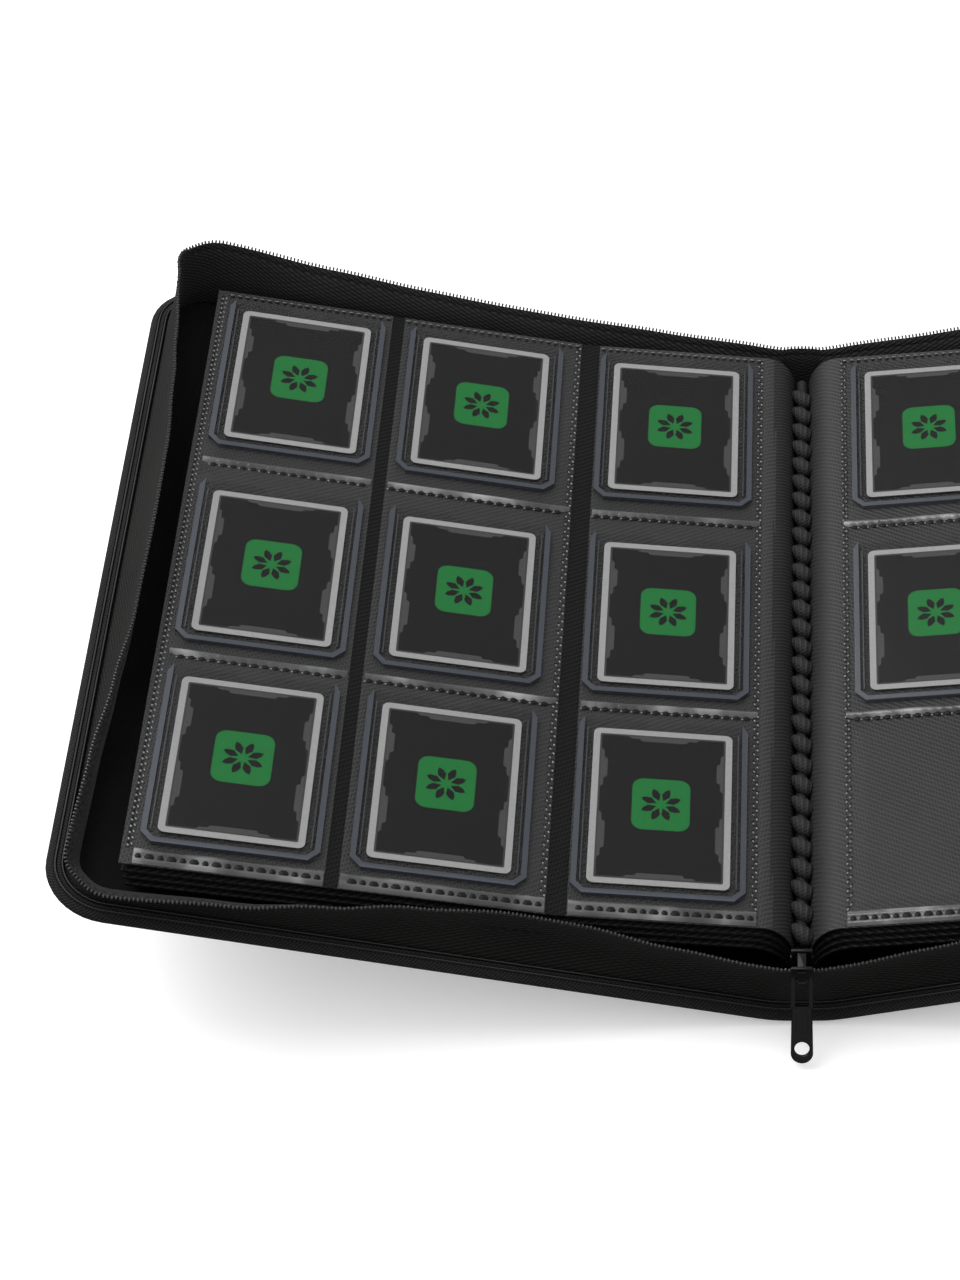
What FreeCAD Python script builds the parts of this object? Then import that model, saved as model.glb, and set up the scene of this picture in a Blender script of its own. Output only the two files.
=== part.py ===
"""Zip-up trading-card binder, open in a shallow V, with nine-pocket pages of rigid toploaders.

All sizes are in millimetres. +X runs across the open case, +Y along the spine to its rear end,
+Z up. The origin is the middle of the spine's resting face.
"""
import FreeCAD, Part
import os
from math import cos, radians, sin, tan
from FreeCAD import Placement, Rotation, Vector

doc = FreeCAD.newDocument("card_binder")
sheet = doc.addObject("Spreadsheet::Sheet", "Dimensions")

DIMENSIONS = {
    "page_reach": 289.5,        # spine centre to a leaf's free edge
    "page_fold": 108.0,         # spine centre to the bend between the second and third columns
    "page_fold_height": 57.2,   # height of the top leaf at that bend
    "page_tilt_outer": 11.5,    # degrees, outer two columns
    "page_tilt_inner": 6.0,     # degrees, column at the gutter
    "gutter_edge": 18.8,        # spine centre to the weld nearest the gutter
    "leaf_pitch": 3.0,          # from one leaf to the next
    "leaf_thick": 1.2,
    "film_thick": 0.3,
    "card_width": 63.0,
    "card_height": 88.0,
    "card_thick": 0.32,
    "loader_side": 14.0,        # a toploader is this much wider than its card
    "loader_end": 13.0,         # and this much taller
    "loader_width": "=card_width + loader_side",
    "loader_height": "=card_height + loader_end",
    "loader_thick": 2.0,
    "loader_wall": 0.45,
    "row_gap": 19.0,            # between the toploaders of two rows
    "row_pitch": "=loader_height + row_gap",
    "page_height": "=3 * row_pitch",    # leaf, along the spine
    "cover_reach": 296.0,       # hinge line to the fore-edge
    "end_margin": 17.0,         # leaf's end to the cover's edge
    "cover_height": "=page_height + 2 * end_margin",
    "cover_tilt": 14.2,         # degrees, each half open in its rest pose
    "cover_corner": 28.0,
    "skin_thick": 1.2,
    "board_thick": 5.0,
    "lining_thick": 0.8,
    "spine_flat": 12.0,         # half width of the flat the case rests on
    "spine_half": 37.5,         # spine centre to a cover's hinge line
    "wall_inset_side": 8.0,     # fore-edge to the gusset wall
    "wall_inset_end": 3.4,      # front or rear edge to the gusset wall
    "wall_thick": 1.6,
    "wall_height": 35.0,        # top of the gusset wall over the cover's outer face
    "tooth_height": 36.0,
    "fold_reach": 40.0,         # hinge line to where the gusset wall turns stiff
    "cord_radius": 2.8,
    "cord_height": 28.0,
    "cord_length": "=page_height - 14",
    "slider_height": 41.0,      # middle of the slider over the floor
    "slider_width": 10.0,
    "slider_tall": 9.0,
    "puller_width": 9.8,
    "puller_thick": 2.0,
    "puller_length": 41.0,
    "puller_hole_radius": 3.3,
    "puller_swing": 29.0,       # degrees the puller leans out from plumb
}
for row, (alias, value) in enumerate(DIMENSIONS.items(), start=1):
    sheet.set("A%d" % row, alias)
    sheet.set("B%d" % row, str(value))
    sheet.setAlias("B%d" % row, alias)
doc.recompute()
D = {alias: float(sheet.get(alias)) for alias in DIMENSIONS}

NODES = []
TILT = radians(D["cover_tilt"])
HINGE_Z = (D["spine_half"] - D["spine_flat"]) * tan(TILT)
GAP = 0.3


def keep(obj, label):
    """Name an object as one of the part's nodes."""
    obj.Label = label
    NODES.append(obj)
    return obj


def bind(obj, **links):
    """Tie an object's properties to the dimension sheet."""
    for prop, text in links.items():
        obj.setExpression(prop.replace("__", "."), text)


def named(word):
    return "Dimensions." + word


def outline(sketch, points):
    """Draw a closed outline. A point with a third value starts an arc that passes that point."""
    count = len(points)
    for i in range(count):
        a, b = points[i], points[(i + 1) % count]
        start, end = Vector(a[0], a[1], 0), Vector(b[0], b[1], 0)
        if start.isEqual(end, 1e-6):
            continue
        if len(a) > 2:
            arc = Part.Arc(start, Vector(a[2][0], a[2][1], 0), end)
            sketch.addGeometry(arc, False)
        else:
            sketch.addGeometry(Part.LineSegment(start, end), False)


def padded_outline(label, plane, loops, length, midplane=False, length_from=None, node=True):
    """Make a PartDesign body: one sketch on an origin plane, one pad."""
    body = doc.addObject("PartDesign::Body", label)
    sketch = body.newObject("Sketcher::SketchObject", label + "_sketch")
    origin_plane = [f for f in body.Origin.OriginFeatures if f.Role == plane][0]
    sketch.AttachmentSupport = [(origin_plane, "")]
    sketch.MapMode = "FlatFace"
    for points in loops:
        outline(sketch, points)
    pad = body.newObject("PartDesign::Pad", label + "_pad")
    pad.Profile = sketch
    pad.Length = length
    pad.Midplane = midplane
    if length_from:
        pad.setExpression("Length", length_from)
    sketch.Visibility = False
    body.Tip = pad
    return keep(body, label) if node else body


def lengthwise(label, points, half=None, length_from=None, y_range=None, node=True):
    """Run a cross section, drawn in X and Z, along Y. It is centred unless y_range is given."""
    if y_range is None:
        return padded_outline(label, "XZ_Plane", [points], 2 * half, True, length_from, node)
    low, high = y_range
    body = padded_outline(label, "XZ_Plane", [points], high - low, True, None, node)
    body.Placement = Placement(Vector(0, (low + high) / 2.0, 0), Rotation())
    return body


def box(label, corner, size, place=None, node=True, **links):
    obj = doc.addObject("Part::Box", label)
    obj.Length, obj.Width, obj.Height = size
    obj.Placement = (place or Placement()).multiply(Placement(Vector(*corner), Rotation()))
    bind(obj, **links)
    return keep(obj, label) if node else obj


def joined(label, parts, node=True):
    obj = doc.addObject("Part::MultiFuse", label)
    obj.Shapes = parts
    return keep(obj, label) if node else obj


def cut(label, base, tool, node=True):
    obj = doc.addObject("Part::Cut", label)
    obj.Base, obj.Tool = base, tool
    return keep(obj, label) if node else obj


def mirror_x(points, side):
    """side is -1 on the left, +1 on the right."""
    return [(side * abs_x, z) for abs_x, z in points]


# ---- spine -----------------------------------------------------------------------------------

def spine_band(low, high, short=0.0):
    """Cross section of one layer of the spine, between two heights over its outer face."""
    turn = tan(TILT / 2)
    reach = (D["spine_half"] - D["spine_flat"]) / cos(TILT) - 1.5 - short

    def edge(w):
        knee = D["spine_flat"] - w * turn
        along = D["spine_flat"] + reach * cos(TILT) - w * sin(TILT)
        return [(knee, w), (along, w * cos(TILT) + reach * sin(TILT))]
    bottom, top = edge(low), edge(high)
    right = bottom + top[::-1]
    return right + [(-x, z) for x, z in right[::-1]]


SKIN_TOP = D["skin_thick"]
BOARD_TOP = SKIN_TOP + D["board_thick"]
LINING_TOP = BOARD_TOP + D["lining_thick"]
COVER_HALF = D["cover_height"] / 2
WALL_OUT = COVER_HALF - D["wall_inset_end"]
WALL_IN = WALL_OUT - D["wall_thick"]

lengthwise("spine_skin", spine_band(0, SKIN_TOP), COVER_HALF, named("cover_height"))
lengthwise("spine_board", spine_band(SKIN_TOP, BOARD_TOP), COVER_HALF - 2,
           named("cover_height") + " - 4")
lengthwise("spine_lining", spine_band(BOARD_TOP, LINING_TOP), WALL_IN - 0.5)

END_HALF = 8.0
END_TOP = D["slider_height"] - D["slider_tall"] / 2 - 0.5
for end, sign in (("front", -1), ("rear", 1)):
    lengthwise("spine_end_" + end,
               [(-END_HALF, BOARD_TOP), (END_HALF, BOARD_TOP), (END_HALF, END_TOP),
                (-END_HALF, END_TOP)],
               y_range=sorted((sign * WALL_IN, sign * WALL_OUT)))

web = box("binding_web", (-0.6, -D["cord_length"] / 2, LINING_TOP),
          (1.2, D["cord_length"], D["cord_height"] - LINING_TOP), node=False,
          Width=named("cord_length"))
cord = doc.addObject("Part::Cylinder", "binding_roll")
cord.Radius, cord.Height = D["cord_radius"], D["cord_length"]
cord.Placement = Placement(Vector(0, D["cord_length"] / 2, D["cord_height"]),
                           Rotation(Vector(1, 0, 0), 90))
bind(cord, Radius=named("cord_radius"), Height=named("cord_length"))
joined("binding_cord", [web, cord])


# ---- covers ----------------------------------------------------------------------------------

def cover_frame(side):
    """Where a cover's own axes sit: its hinge line, tilted with its outer face."""
    return Placement(Vector(side * D["spine_half"], 0, HINGE_Z),
                     Rotation(Vector(0, 1, 0), -side * D["cover_tilt"]))


def cover_point(u, w):
    """Distance from the spine's middle and height of a point on a cover, both positive."""
    return (D["spine_half"] + u * cos(TILT) - w * sin(TILT),
            HINGE_Z + u * sin(TILT) + w * cos(TILT))


def bend(cx, cy, radius, side, sign):
    """The middle point of a quarter arc at an outer corner."""
    c = cos(radians(45))
    return (cx + side * radius * c, cy + sign * radius * c)


def slab_outline(side, u0, u1, half, radius):
    """A cover panel: square at the hinge, rounded at the two fore-edge corners."""
    s, k = side, u1 - radius
    return [(s * u0, -half), (s * k, -half, bend(s * k, -half + radius, radius, s, -1)),
            (s * u1, -half + radius), (s * u1, half - radius, bend(s * k, half - radius, radius, s, 1)),
            (s * k, half), (s * u0, half)]


def wall_outline(side, u0, u1, half, radius, thick):
    """A strip that stands round the cover's edge, open at the hinge."""
    outer = slab_outline(side, u0, u1, half, radius)
    inner = slab_outline(side, u0, u1 - thick, half - thick, radius - thick)
    back = [(p[0], -p[1]) if len(p) < 3 else (p[0], -p[1], (p[2][0], -p[2][1])) for p in inner]
    return outer + back


def cover_piece(label, side, outline_points, low, high, length_from=None):
    body = padded_outline(label, "XY_Plane", [outline_points], high - low, False, length_from)
    body.Placement = cover_frame(side).multiply(Placement(Vector(0, 0, low), Rotation()))
    return body


COVER_START = 8.2
REACH = D["cover_reach"]
WALL_U = REACH - D["wall_inset_side"]
WALL_R = D["cover_corner"] - 8.0
for side, name in ((-1, "left"), (1, "right")):
    cover_piece(name + "_cover_skin", side,
                slab_outline(side, COVER_START, REACH, COVER_HALF, D["cover_corner"]),
                0, SKIN_TOP, named("skin_thick"))
    cover_piece(name + "_cover_board", side,
                slab_outline(side, COVER_START, REACH - 2, COVER_HALF - 2, D["cover_corner"] - 2),
                SKIN_TOP, BOARD_TOP, named("board_thick"))
    cover_piece(name + "_cover_lining", side,
                slab_outline(side, COVER_START, WALL_U - D["wall_thick"] - 0.5, WALL_IN - 0.5,
                             WALL_R - D["wall_thick"] - 0.5),
                BOARD_TOP, LINING_TOP, named("lining_thick"))
    corner_u = WALL_U - WALL_R
    for end, sign in (("front", -1), ("rear", 1)):
        v0, v1 = sorted((sign * WALL_IN, sign * WALL_OUT))
        u0, u1 = sorted((side * D["fold_reach"], side * (corner_u - GAP)))
        box("%s_gusset_%s" % (name, end), (u0, v0, BOARD_TOP),
            (u1 - u0, v1 - v0, D["wall_height"] - BOARD_TOP), cover_frame(side),
            Width=named("wall_thick"))
    cover_piece(name + "_gusset_side", side,
                wall_outline(side, corner_u, WALL_U, WALL_OUT, WALL_R, D["wall_thick"]),
                BOARD_TOP, D["wall_height"])
    cover_piece(name + "_zip_tape", side,
                wall_outline(side, D["fold_reach"], WALL_U - D["wall_thick"] - 0.1, WALL_IN - 0.1,
                             WALL_R - D["wall_thick"] - 0.1, 0.8),
                D["wall_height"] - 12, D["wall_height"])
    cover_piece(name + "_zip_teeth", side,
                wall_outline(side, D["fold_reach"], WALL_U, WALL_OUT, WALL_R, 2.4),
                D["wall_height"] + 0.05, D["tooth_height"])

    # soft pieces that bend as the cover closes
    strip = [cover_point(-1.2, 0), cover_point(COVER_START - 0.2, 0),
             cover_point(COVER_START - 0.2, 2.4), cover_point(-1.2, 2.4)]
    lengthwise(name + "_hinge_strip", mirror_x(strip, side), COVER_HALF - 1,
               named("cover_height") + " - 2")
    start = END_HALF + 0.2
    fold = [(start, LINING_TOP + 0.2), (D["spine_flat"], LINING_TOP + 0.4),
            cover_point(0, LINING_TOP + 0.4), cover_point(D["fold_reach"] - 0.2, LINING_TOP + 0.4),
            cover_point(D["fold_reach"] - 0.2, D["wall_height"]), (start, END_TOP)]
    for end, sign in (("front", -1), ("rear", 1)):
        lengthwise("%s_end_fold_%s" % (name, end), mirror_x(fold, side),
                   y_range=sorted((sign * WALL_IN, sign * WALL_OUT)))


# ---- pages -----------------------------------------------------------------------------------

SLOPE_OUT = tan(radians(D["page_tilt_outer"]))
SLOPE_IN = tan(radians(D["page_tilt_inner"]))


def page_z(x):
    """Height of the middle of the top leaf's cards at a distance from the spine's middle."""
    run = x - D["page_fold"]
    return D["page_fold_height"] + run * (SLOPE_OUT if run > 0 else SLOPE_IN)


def sheet_points(x0, x1, low, high):
    """Cross section of a sheet that follows the leaf, between two offsets from its cards."""
    xs = [x0] + ([D["page_fold"]] if x0 < D["page_fold"] < x1 else []) + [x1]
    return [(x, page_z(x) + low) for x in xs] + [(x, page_z(x) + high) for x in reversed(xs)]


HALF_PAGE = D["page_height"] / 2
HALF_LOADER = D["loader_thick"] / 2
FILM_LOW = HALF_LOADER + 0.1
FILM_HIGH = FILM_LOW + D["film_thick"]
SHEET_HIGH = -HALF_LOADER - 0.1
SHEET_LOW = SHEET_HIGH - 0.6
# each column: film's welded edge, film's open edge, toploader's outer edge, leaf panel's tilt
COLUMNS = (
    (284.5, 204.6, 282.9, "page_tilt_outer"),
    (111.0, 198.6, 195.3, "page_tilt_outer"),
    (19.4, 101.9, 101.2, "page_tilt_inner"),
)
ROW_LIFT = (3.5, -0.4, 3.6)    # how far each row's toploaders sit above their pocket's middle
ROW_MIDDLE = [D["row_pitch"] * (1 - i) + ROW_LIFT[i] for i in range(3)]


def leaf_films(label, side):
    """The pocket fronts: one film per column, with its welds down to the sheet."""
    solids = []
    for i, (weld, free, _, _) in enumerate(COLUMNS):
        low, high = min(weld, free), max(weld, free)
        tag = "%s_%d" % (label, i + 1)
        film = lengthwise(tag, mirror_x(sheet_points(low, high, FILM_LOW, FILM_HIGH), side),
                          HALF_PAGE - 1, named("page_height") + " - 2", node=False)
        weld_in, weld_out = (weld - 0.8, weld) if weld > free else (weld, weld + 0.8)
        leg = lengthwise(tag + "_weld", mirror_x(sheet_points(
            weld_in, weld_out, SHEET_HIGH + 0.02, FILM_HIGH), side),
            HALF_PAGE - 1, named("page_height") + " - 2", node=False)
        solids += [film, leg]
        for j, y in enumerate((D["row_pitch"] / 2, -D["row_pitch"] / 2, -HALF_PAGE + 1.8)):
            solids.append(lengthwise(
                "%s_row_%d" % (tag, j), mirror_x(sheet_points(
                    low, high, SHEET_HIGH + 0.02, FILM_HIGH), side),
                y_range=(y - 0.4, y + 0.4), node=False))
    return joined(label, solids)


def loader_frame(side, column, row):
    """The middle of one toploader, with its own X across the card and Z out of its face."""
    outer, tilt = COLUMNS[column][2], COLUMNS[column][3]
    angle = radians(D[tilt])
    middle = outer - D["loader_width"] / 2 * cos(angle)
    return Placement(Vector(side * middle, ROW_MIDDLE[row], page_z(middle)),
                     Rotation(Vector(0, 1, 0), -side * D[tilt]))


def loader(label, frame, node=True):
    """A rigid sleeve, open at its top edge."""
    w, h, t, wall = D["loader_width"], D["loader_height"], D["loader_thick"], D["loader_wall"]
    edge = (w - D["card_width"]) / 2 - 1.2
    shell = box(label + "_shell", (-w / 2, -h / 2, -t / 2), (w, h, t), frame, False,
                Length=named("loader_width"), Width=named("loader_height"),
                Height=named("loader_thick"))
    slot = box(label + "_slot", (-w / 2 + edge, -h / 2 + 5.6, -t / 2 + wall),
               (w - 2 * edge, h, t - 2 * wall), frame, False)
    return cut(label, shell, slot, node)


def card(label, frame, node=True):
    w, h, t = D["card_width"], D["card_height"], D["card_thick"]
    return box(label, (-w / 2, -h / 2, -t / 2), (w, h, t), frame, node,
               Length=named("card_width"), Width=named("card_height"), Height=named("card_thick"))


for side, name in ((-1, "left"), (1, "right")):
    lengthwise(name + "_leaf_1", mirror_x(sheet_points(
        D["gutter_edge"], D["page_reach"], SHEET_LOW, SHEET_HIGH), side),
        HALF_PAGE, named("page_height"))
    leaf_films(name + "_pocket_films", side)
    for k in (2, 3, 4):
        drop = -D["leaf_pitch"] * (k - 1) - 0.4
        lengthwise("%s_leaf_%d" % (name, k), mirror_x(sheet_points(
            D["gutter_edge"] + 9, D["page_reach"] - 0.8 * (k - 1), drop - D["leaf_thick"], drop),
            side), HALF_PAGE, named("page_height"))

for row in range(3):
    for column in range(3):
        loader("left_toploader_%d_%d" % (row + 1, column + 1), loader_frame(-1, column, row))
for column in range(3):
    joined("left_cards_column_%d" % (column + 1), [
        card("left_card_%d_%d" % (row + 1, column + 1), loader_frame(-1, column, row), False)
        for row in range(3)])
for row in range(2):
    joined("right_toploaders_row_%d" % (row + 1), [
        loader("right_toploader_%d_%d" % (row + 1, column + 1), loader_frame(1, column, row), False)
        for column in range(3)])
joined("right_cards", [
    card("right_card_%d_%d" % (row + 1, column + 1), loader_frame(1, column, row), False)
    for row in range(2) for column in range(3)])


def gutter_band(x_out, high_offset, thick, gap=0.5):
    """Cross section of the strip that curves from the binding up to the leaves."""
    cx, cz = x_out, D["cord_height"] - 2
    a = cx - D["cord_radius"] - gap
    b = page_z(x_out) + high_offset - cz
    steps = [radians(90.0 * i / 8) for i in range(9)]
    outer = [(cx - a * cos(t), cz + b * sin(t)) for t in steps]
    inner = [(cx - (a - thick) * cos(t), cz + (b - thick) * sin(t)) for t in reversed(steps)]
    return outer + inner


edge = D["gutter_edge"] - 0.3
lengthwise("left_gutter_leaf_1", mirror_x(gutter_band(edge, SHEET_HIGH, 0.6), -1), HALF_PAGE - 1)
lengthwise("left_gutter_strips", mirror_x(gutter_band(edge + 9, -6.4, 5.4, 1.5), -1), HALF_PAGE - 2)
lengthwise("right_gutter_strips", mirror_x(gutter_band(edge, SHEET_HIGH, 0.6), 1), HALF_PAGE - 1)


# ---- zip slider and puller -------------------------------------------------------------------

SX, SZ = D["slider_width"], D["slider_tall"]
front_y = -WALL_OUT - 1.9
body_z = D["slider_height"] - SZ / 2
plate = box("slider_front_plate", (-SX / 2, front_y - 1.6, body_z), (SX, 1.6, SZ), node=False,
            Length=named("slider_width"), Height=named("slider_tall"))
back = box("slider_back_plate", (-SX / 2, -WALL_IN + 1.6, body_z), (SX, 1.6, SZ), node=False,
           Length=named("slider_width"), Height=named("slider_tall"))
post = box("slider_post", (-0.8, front_y - 0.8, body_z + SZ * 0.45),
           (1.6, -WALL_IN + 2.4 - front_y, SZ * 0.45), node=False)
PIVOT = Vector(0, front_y - 1.6 - 2.3, D["slider_height"] - 2.5)
bridge_block = box("slider_bridge_block", (-1.4, PIVOT.y - 2.3, PIVOT.z - 2.6),
                   (2.8, 4.8, 5.2), node=False)
bridge_window = box("slider_bridge_window", (-3, PIVOT.y - 1.4, PIVOT.z - 1.4),
                    (6, 2.8, 2.8), node=False)
bridge = cut("slider_bridge", bridge_block, bridge_window, False)
joined("zip_slider", [plate, back, post, bridge])

swing = Placement(PIVOT, Rotation(Vector(1, 0, 0), -D["puller_swing"]))
PW, PT, PL = D["puller_width"], D["puller_thick"], D["puller_length"]
NECK = 6.0
bar = doc.addObject("Part::Cylinder", "puller_bar")
bar.Radius, bar.Height = 1.0, PW - 2
bar.Placement = swing.multiply(Placement(Vector(-PW / 2 + 1, 0, 0), Rotation(Vector(0, 1, 0), 90)))
arms = [box("puller_arm_%d" % i, (x, -1.0, -NECK - 1), (1.8, 2.0, NECK + 1.9), swing, False)
        for i, x in enumerate((-PW / 2 + 1, PW / 2 - 2.8))]
tab_plate = box("puller_tab_plate", (-PW / 2, -PT / 2, -PL + PW / 2), (PW, PT, PL - NECK - PW / 2),
                swing, False, Length=named("puller_width"), Width=named("puller_thick"))
tab_end = doc.addObject("Part::Cylinder", "puller_tab_end")
tab_end.Radius, tab_end.Height = PW / 2, PT
tab_end.Placement = swing.multiply(Placement(Vector(0, PT / 2, -PL + PW / 2),
                                             Rotation(Vector(1, 0, 0), 90)))
bind(tab_end, Radius=named("puller_width") + " / 2", Height=named("puller_thick"))
blank = joined("puller_blank", arms + [bar, tab_plate, tab_end], False)
hole = doc.addObject("Part::Cylinder", "puller_hole")
hole.Radius, hole.Height = D["puller_hole_radius"], PT * 3
hole.Placement = swing.multiply(Placement(Vector(0, PT * 1.5, -PL + 7.0),
                                          Rotation(Vector(1, 0, 0), 90)))
bind(hole, Radius=named("puller_hole_radius"))
cut("zip_puller", blank, hole)


# ---- check and export ------------------------------------------------------------------------

doc.recompute()
for obj in doc.Objects:
    if set(obj.State) & {"Invalid", "Error"}:
        raise RuntimeError("%s failed to rebuild" % obj.Label)
os.makedirs("parts", exist_ok=True)
for obj in NODES:
    shape = obj.Shape
    if shape.isNull() or not shape.isValid() or shape.Volume < 1:
        raise RuntimeError("%s has no valid solid" % obj.Label)
    shape.exportStep("parts/%s.step" % obj.Label)
print("%d nodes" % len(NODES))
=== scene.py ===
"""Zip-up card binder with nine-pocket pages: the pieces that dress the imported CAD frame."""
from math import cos, dist, pi, radians, sin, sqrt, tan

import bmesh
import bpy
from bpy.props import FloatProperty, FloatVectorProperty, IntProperty, PointerProperty
from mathutils import Matrix, Vector


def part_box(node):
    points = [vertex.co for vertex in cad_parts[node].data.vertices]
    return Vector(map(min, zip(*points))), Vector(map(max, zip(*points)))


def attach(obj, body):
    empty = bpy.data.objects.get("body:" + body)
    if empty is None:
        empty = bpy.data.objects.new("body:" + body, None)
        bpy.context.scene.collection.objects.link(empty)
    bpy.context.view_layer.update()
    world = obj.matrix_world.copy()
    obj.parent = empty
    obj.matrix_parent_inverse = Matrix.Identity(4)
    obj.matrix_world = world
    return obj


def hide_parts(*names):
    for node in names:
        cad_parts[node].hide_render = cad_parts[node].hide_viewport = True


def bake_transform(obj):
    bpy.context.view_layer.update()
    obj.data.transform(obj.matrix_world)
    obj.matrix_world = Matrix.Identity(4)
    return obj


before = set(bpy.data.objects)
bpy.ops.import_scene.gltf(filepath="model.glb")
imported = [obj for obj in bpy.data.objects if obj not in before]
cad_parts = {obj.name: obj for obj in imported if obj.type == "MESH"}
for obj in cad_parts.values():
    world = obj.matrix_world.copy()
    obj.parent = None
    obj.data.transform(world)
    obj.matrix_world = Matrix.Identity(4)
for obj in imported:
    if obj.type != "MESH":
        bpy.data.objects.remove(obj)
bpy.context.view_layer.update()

bl_info = {
    "name": "Card Binder",
    "version": (1, 0, 0),
    "blender": (4, 5, 0),
    "location": "View3D > Sidebar > Card Binder",
    "description": "Builds an open zip-up card binder with pocket pages, sleeves and cards",
    "category": "Add Mesh",
}

MM = 0.001
HALVES = ((-1, "left"), (1, "right"))


# ---- sizes -----------------------------------------------------------------------------------

class BinderCase(bpy.types.PropertyGroup):
    """Sizes and colours of the padded case."""
    reach: FloatProperty(
        name="Half width", description="Spine centre to fore-edge, round the outer face, in mm",
        default=334.3, min=200, max=450)
    half: FloatProperty(
        name="Half height", description="Spine middle to the front or rear edge, in mm",
        default=197.0, min=120, max=260)
    corner: FloatProperty(
        name="Corner radius", description="Radius of the two fore-edge corners, in mm",
        default=28.0, min=22, max=45)
    tooth_pitch: FloatProperty(
        name="Tooth pitch", description="Spacing of the zip's teeth, in mm",
        default=1.8, min=1.2, max=4.0)
    cloth: FloatVectorProperty(
        name="Cover cloth", description="Colour of the woven outer cloth", subtype="COLOR",
        size=3, min=0, max=1, default=(0.0125, 0.0125, 0.013))
    gusset: FloatVectorProperty(
        name="Gusset cloth", description="Colour of the ribbed cloth of the side walls",
        subtype="COLOR", size=3, min=0, max=1, default=(0.0078, 0.0075, 0.0070))
    lining: FloatVectorProperty(
        name="Lining", description="Colour of the smooth inner cloth", subtype="COLOR",
        size=3, min=0, max=1, default=(0.0075, 0.0075, 0.0078))


class BinderPages(bpy.types.PropertyGroup):
    """Sizes and colours of the leaves and what they hold."""
    bottom: FloatProperty(
        name="Front edge", description="Spine middle to a leaf's front edge, in mm",
        default=178.6, min=120, max=200)
    top: FloatProperty(
        name="Rear edge", description="Spine middle to a leaf's rear edge, in mm",
        default=180.4, min=120, max=200)
    sheet: FloatVectorProperty(
        name="Page sheet", description="Colour of the embossed sheet", subtype="COLOR",
        size=3, min=0, max=1, default=(0.026, 0.026, 0.0267))
    band: FloatVectorProperty(
        name="Sleeve band", description="Colour of the welded band round a rigid sleeve",
        subtype="COLOR", size=3, min=0, max=1, default=(0.026, 0.032, 0.044))
    emblem: FloatVectorProperty(
        name="Card emblem", description="Colour of the plain emblem on the cards",
        subtype="COLOR", size=3, min=0, max=1, default=(0.012, 0.165, 0.036))
    right_rows: IntProperty(
        name="Filled rows on the right", description="Rows of the right leaf that hold sleeves",
        default=2, min=0, max=3)


class BinderStage(bpy.types.PropertyGroup):
    """Light, floor and camera."""
    floor: FloatVectorProperty(
        name="Floor", description="Colour of the floor", subtype="COLOR", size=3, min=0, max=1,
        default=(0.97, 0.97, 0.97))
    sky: FloatProperty(
        name="Sky strength", description="Strength of the even light all round", default=0.85,
        min=0, max=10)
    soft_key: FloatProperty(
        name="Overhead light", description="Power of the large light overhead", default=42.0,
        min=0, max=1000, unit="POWER")
    lens: FloatProperty(
        name="Lens", description="Focal length of the camera in mm", default=91.357, min=20,
        max=300)


# ---- the shape of the open case --------------------------------------------------------------

TILT = radians(14.2)                # each cover's lift from flat
BEND_START, BEND_RUN = 4.0, 18.0    # where the spine's face starts to lift, and over how far
CURVE_REACH, CURVE_STEP = 345, 0.5


def ease(t):
    """A smooth step from 0 to 1."""
    t = min(max(t, 0.0), 1.0)
    return t * t * (3 - 2 * t)


def run_lengths(points):
    """Distance along a line of points, for each point."""
    runs = [0.0]
    for p, q in zip(points, points[1:]):
        runs.append(runs[-1] + dist(p, q))
    return runs


def tilt_at(s):
    """Slope of the case's outer face at an arc distance from the spine's middle, in mm."""
    return TILT * ease((s - BEND_START) / BEND_RUN)


def outer_curve():
    """Cross section of the case's outer face, from the spine's middle out."""
    curve = [(0.0, 0.0)]
    for i in range(int(CURVE_REACH / CURVE_STEP)):
        a = tilt_at((i + 0.5) * CURVE_STEP)
        curve.append((curve[-1][0] + CURVE_STEP * cos(a), curve[-1][1] + CURVE_STEP * sin(a)))
    return curve


CURVE = outer_curve()


def on_case(side, s, v, w):
    """A point w mm above the case's outer face. side is -1 on the left, +1 on the right."""
    k = min(max(s / CURVE_STEP, 0.0), len(CURVE) - 1.001)
    i, f = int(k), k - int(k)
    x = CURVE[i][0] * (1 - f) + CURVE[i + 1][0] * f
    z = CURVE[i][1] * (1 - f) + CURVE[i + 1][1] * f
    a = tilt_at(s)
    return (side * (x - w * sin(a)), v, z + w * cos(a))


def spread(low, high, step):
    """Even stations from low to high, at most a step apart."""
    n = max(1, int(round((high - low) / step)))
    return [low + (high - low) * i / n for i in range(n + 1)]


def table(x, rows):
    """Smooth reading of a list of (x, value...) rows."""
    if x <= rows[0][0]:
        return rows[0][1:]
    for a, b in zip(rows, rows[1:]):
        if x <= b[0]:
            t = ease((x - a[0]) / (b[0] - a[0]))
            return [p * (1 - t) + q * t for p, q in zip(a[1:], b[1:])]
    return rows[-1][1:]


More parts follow.
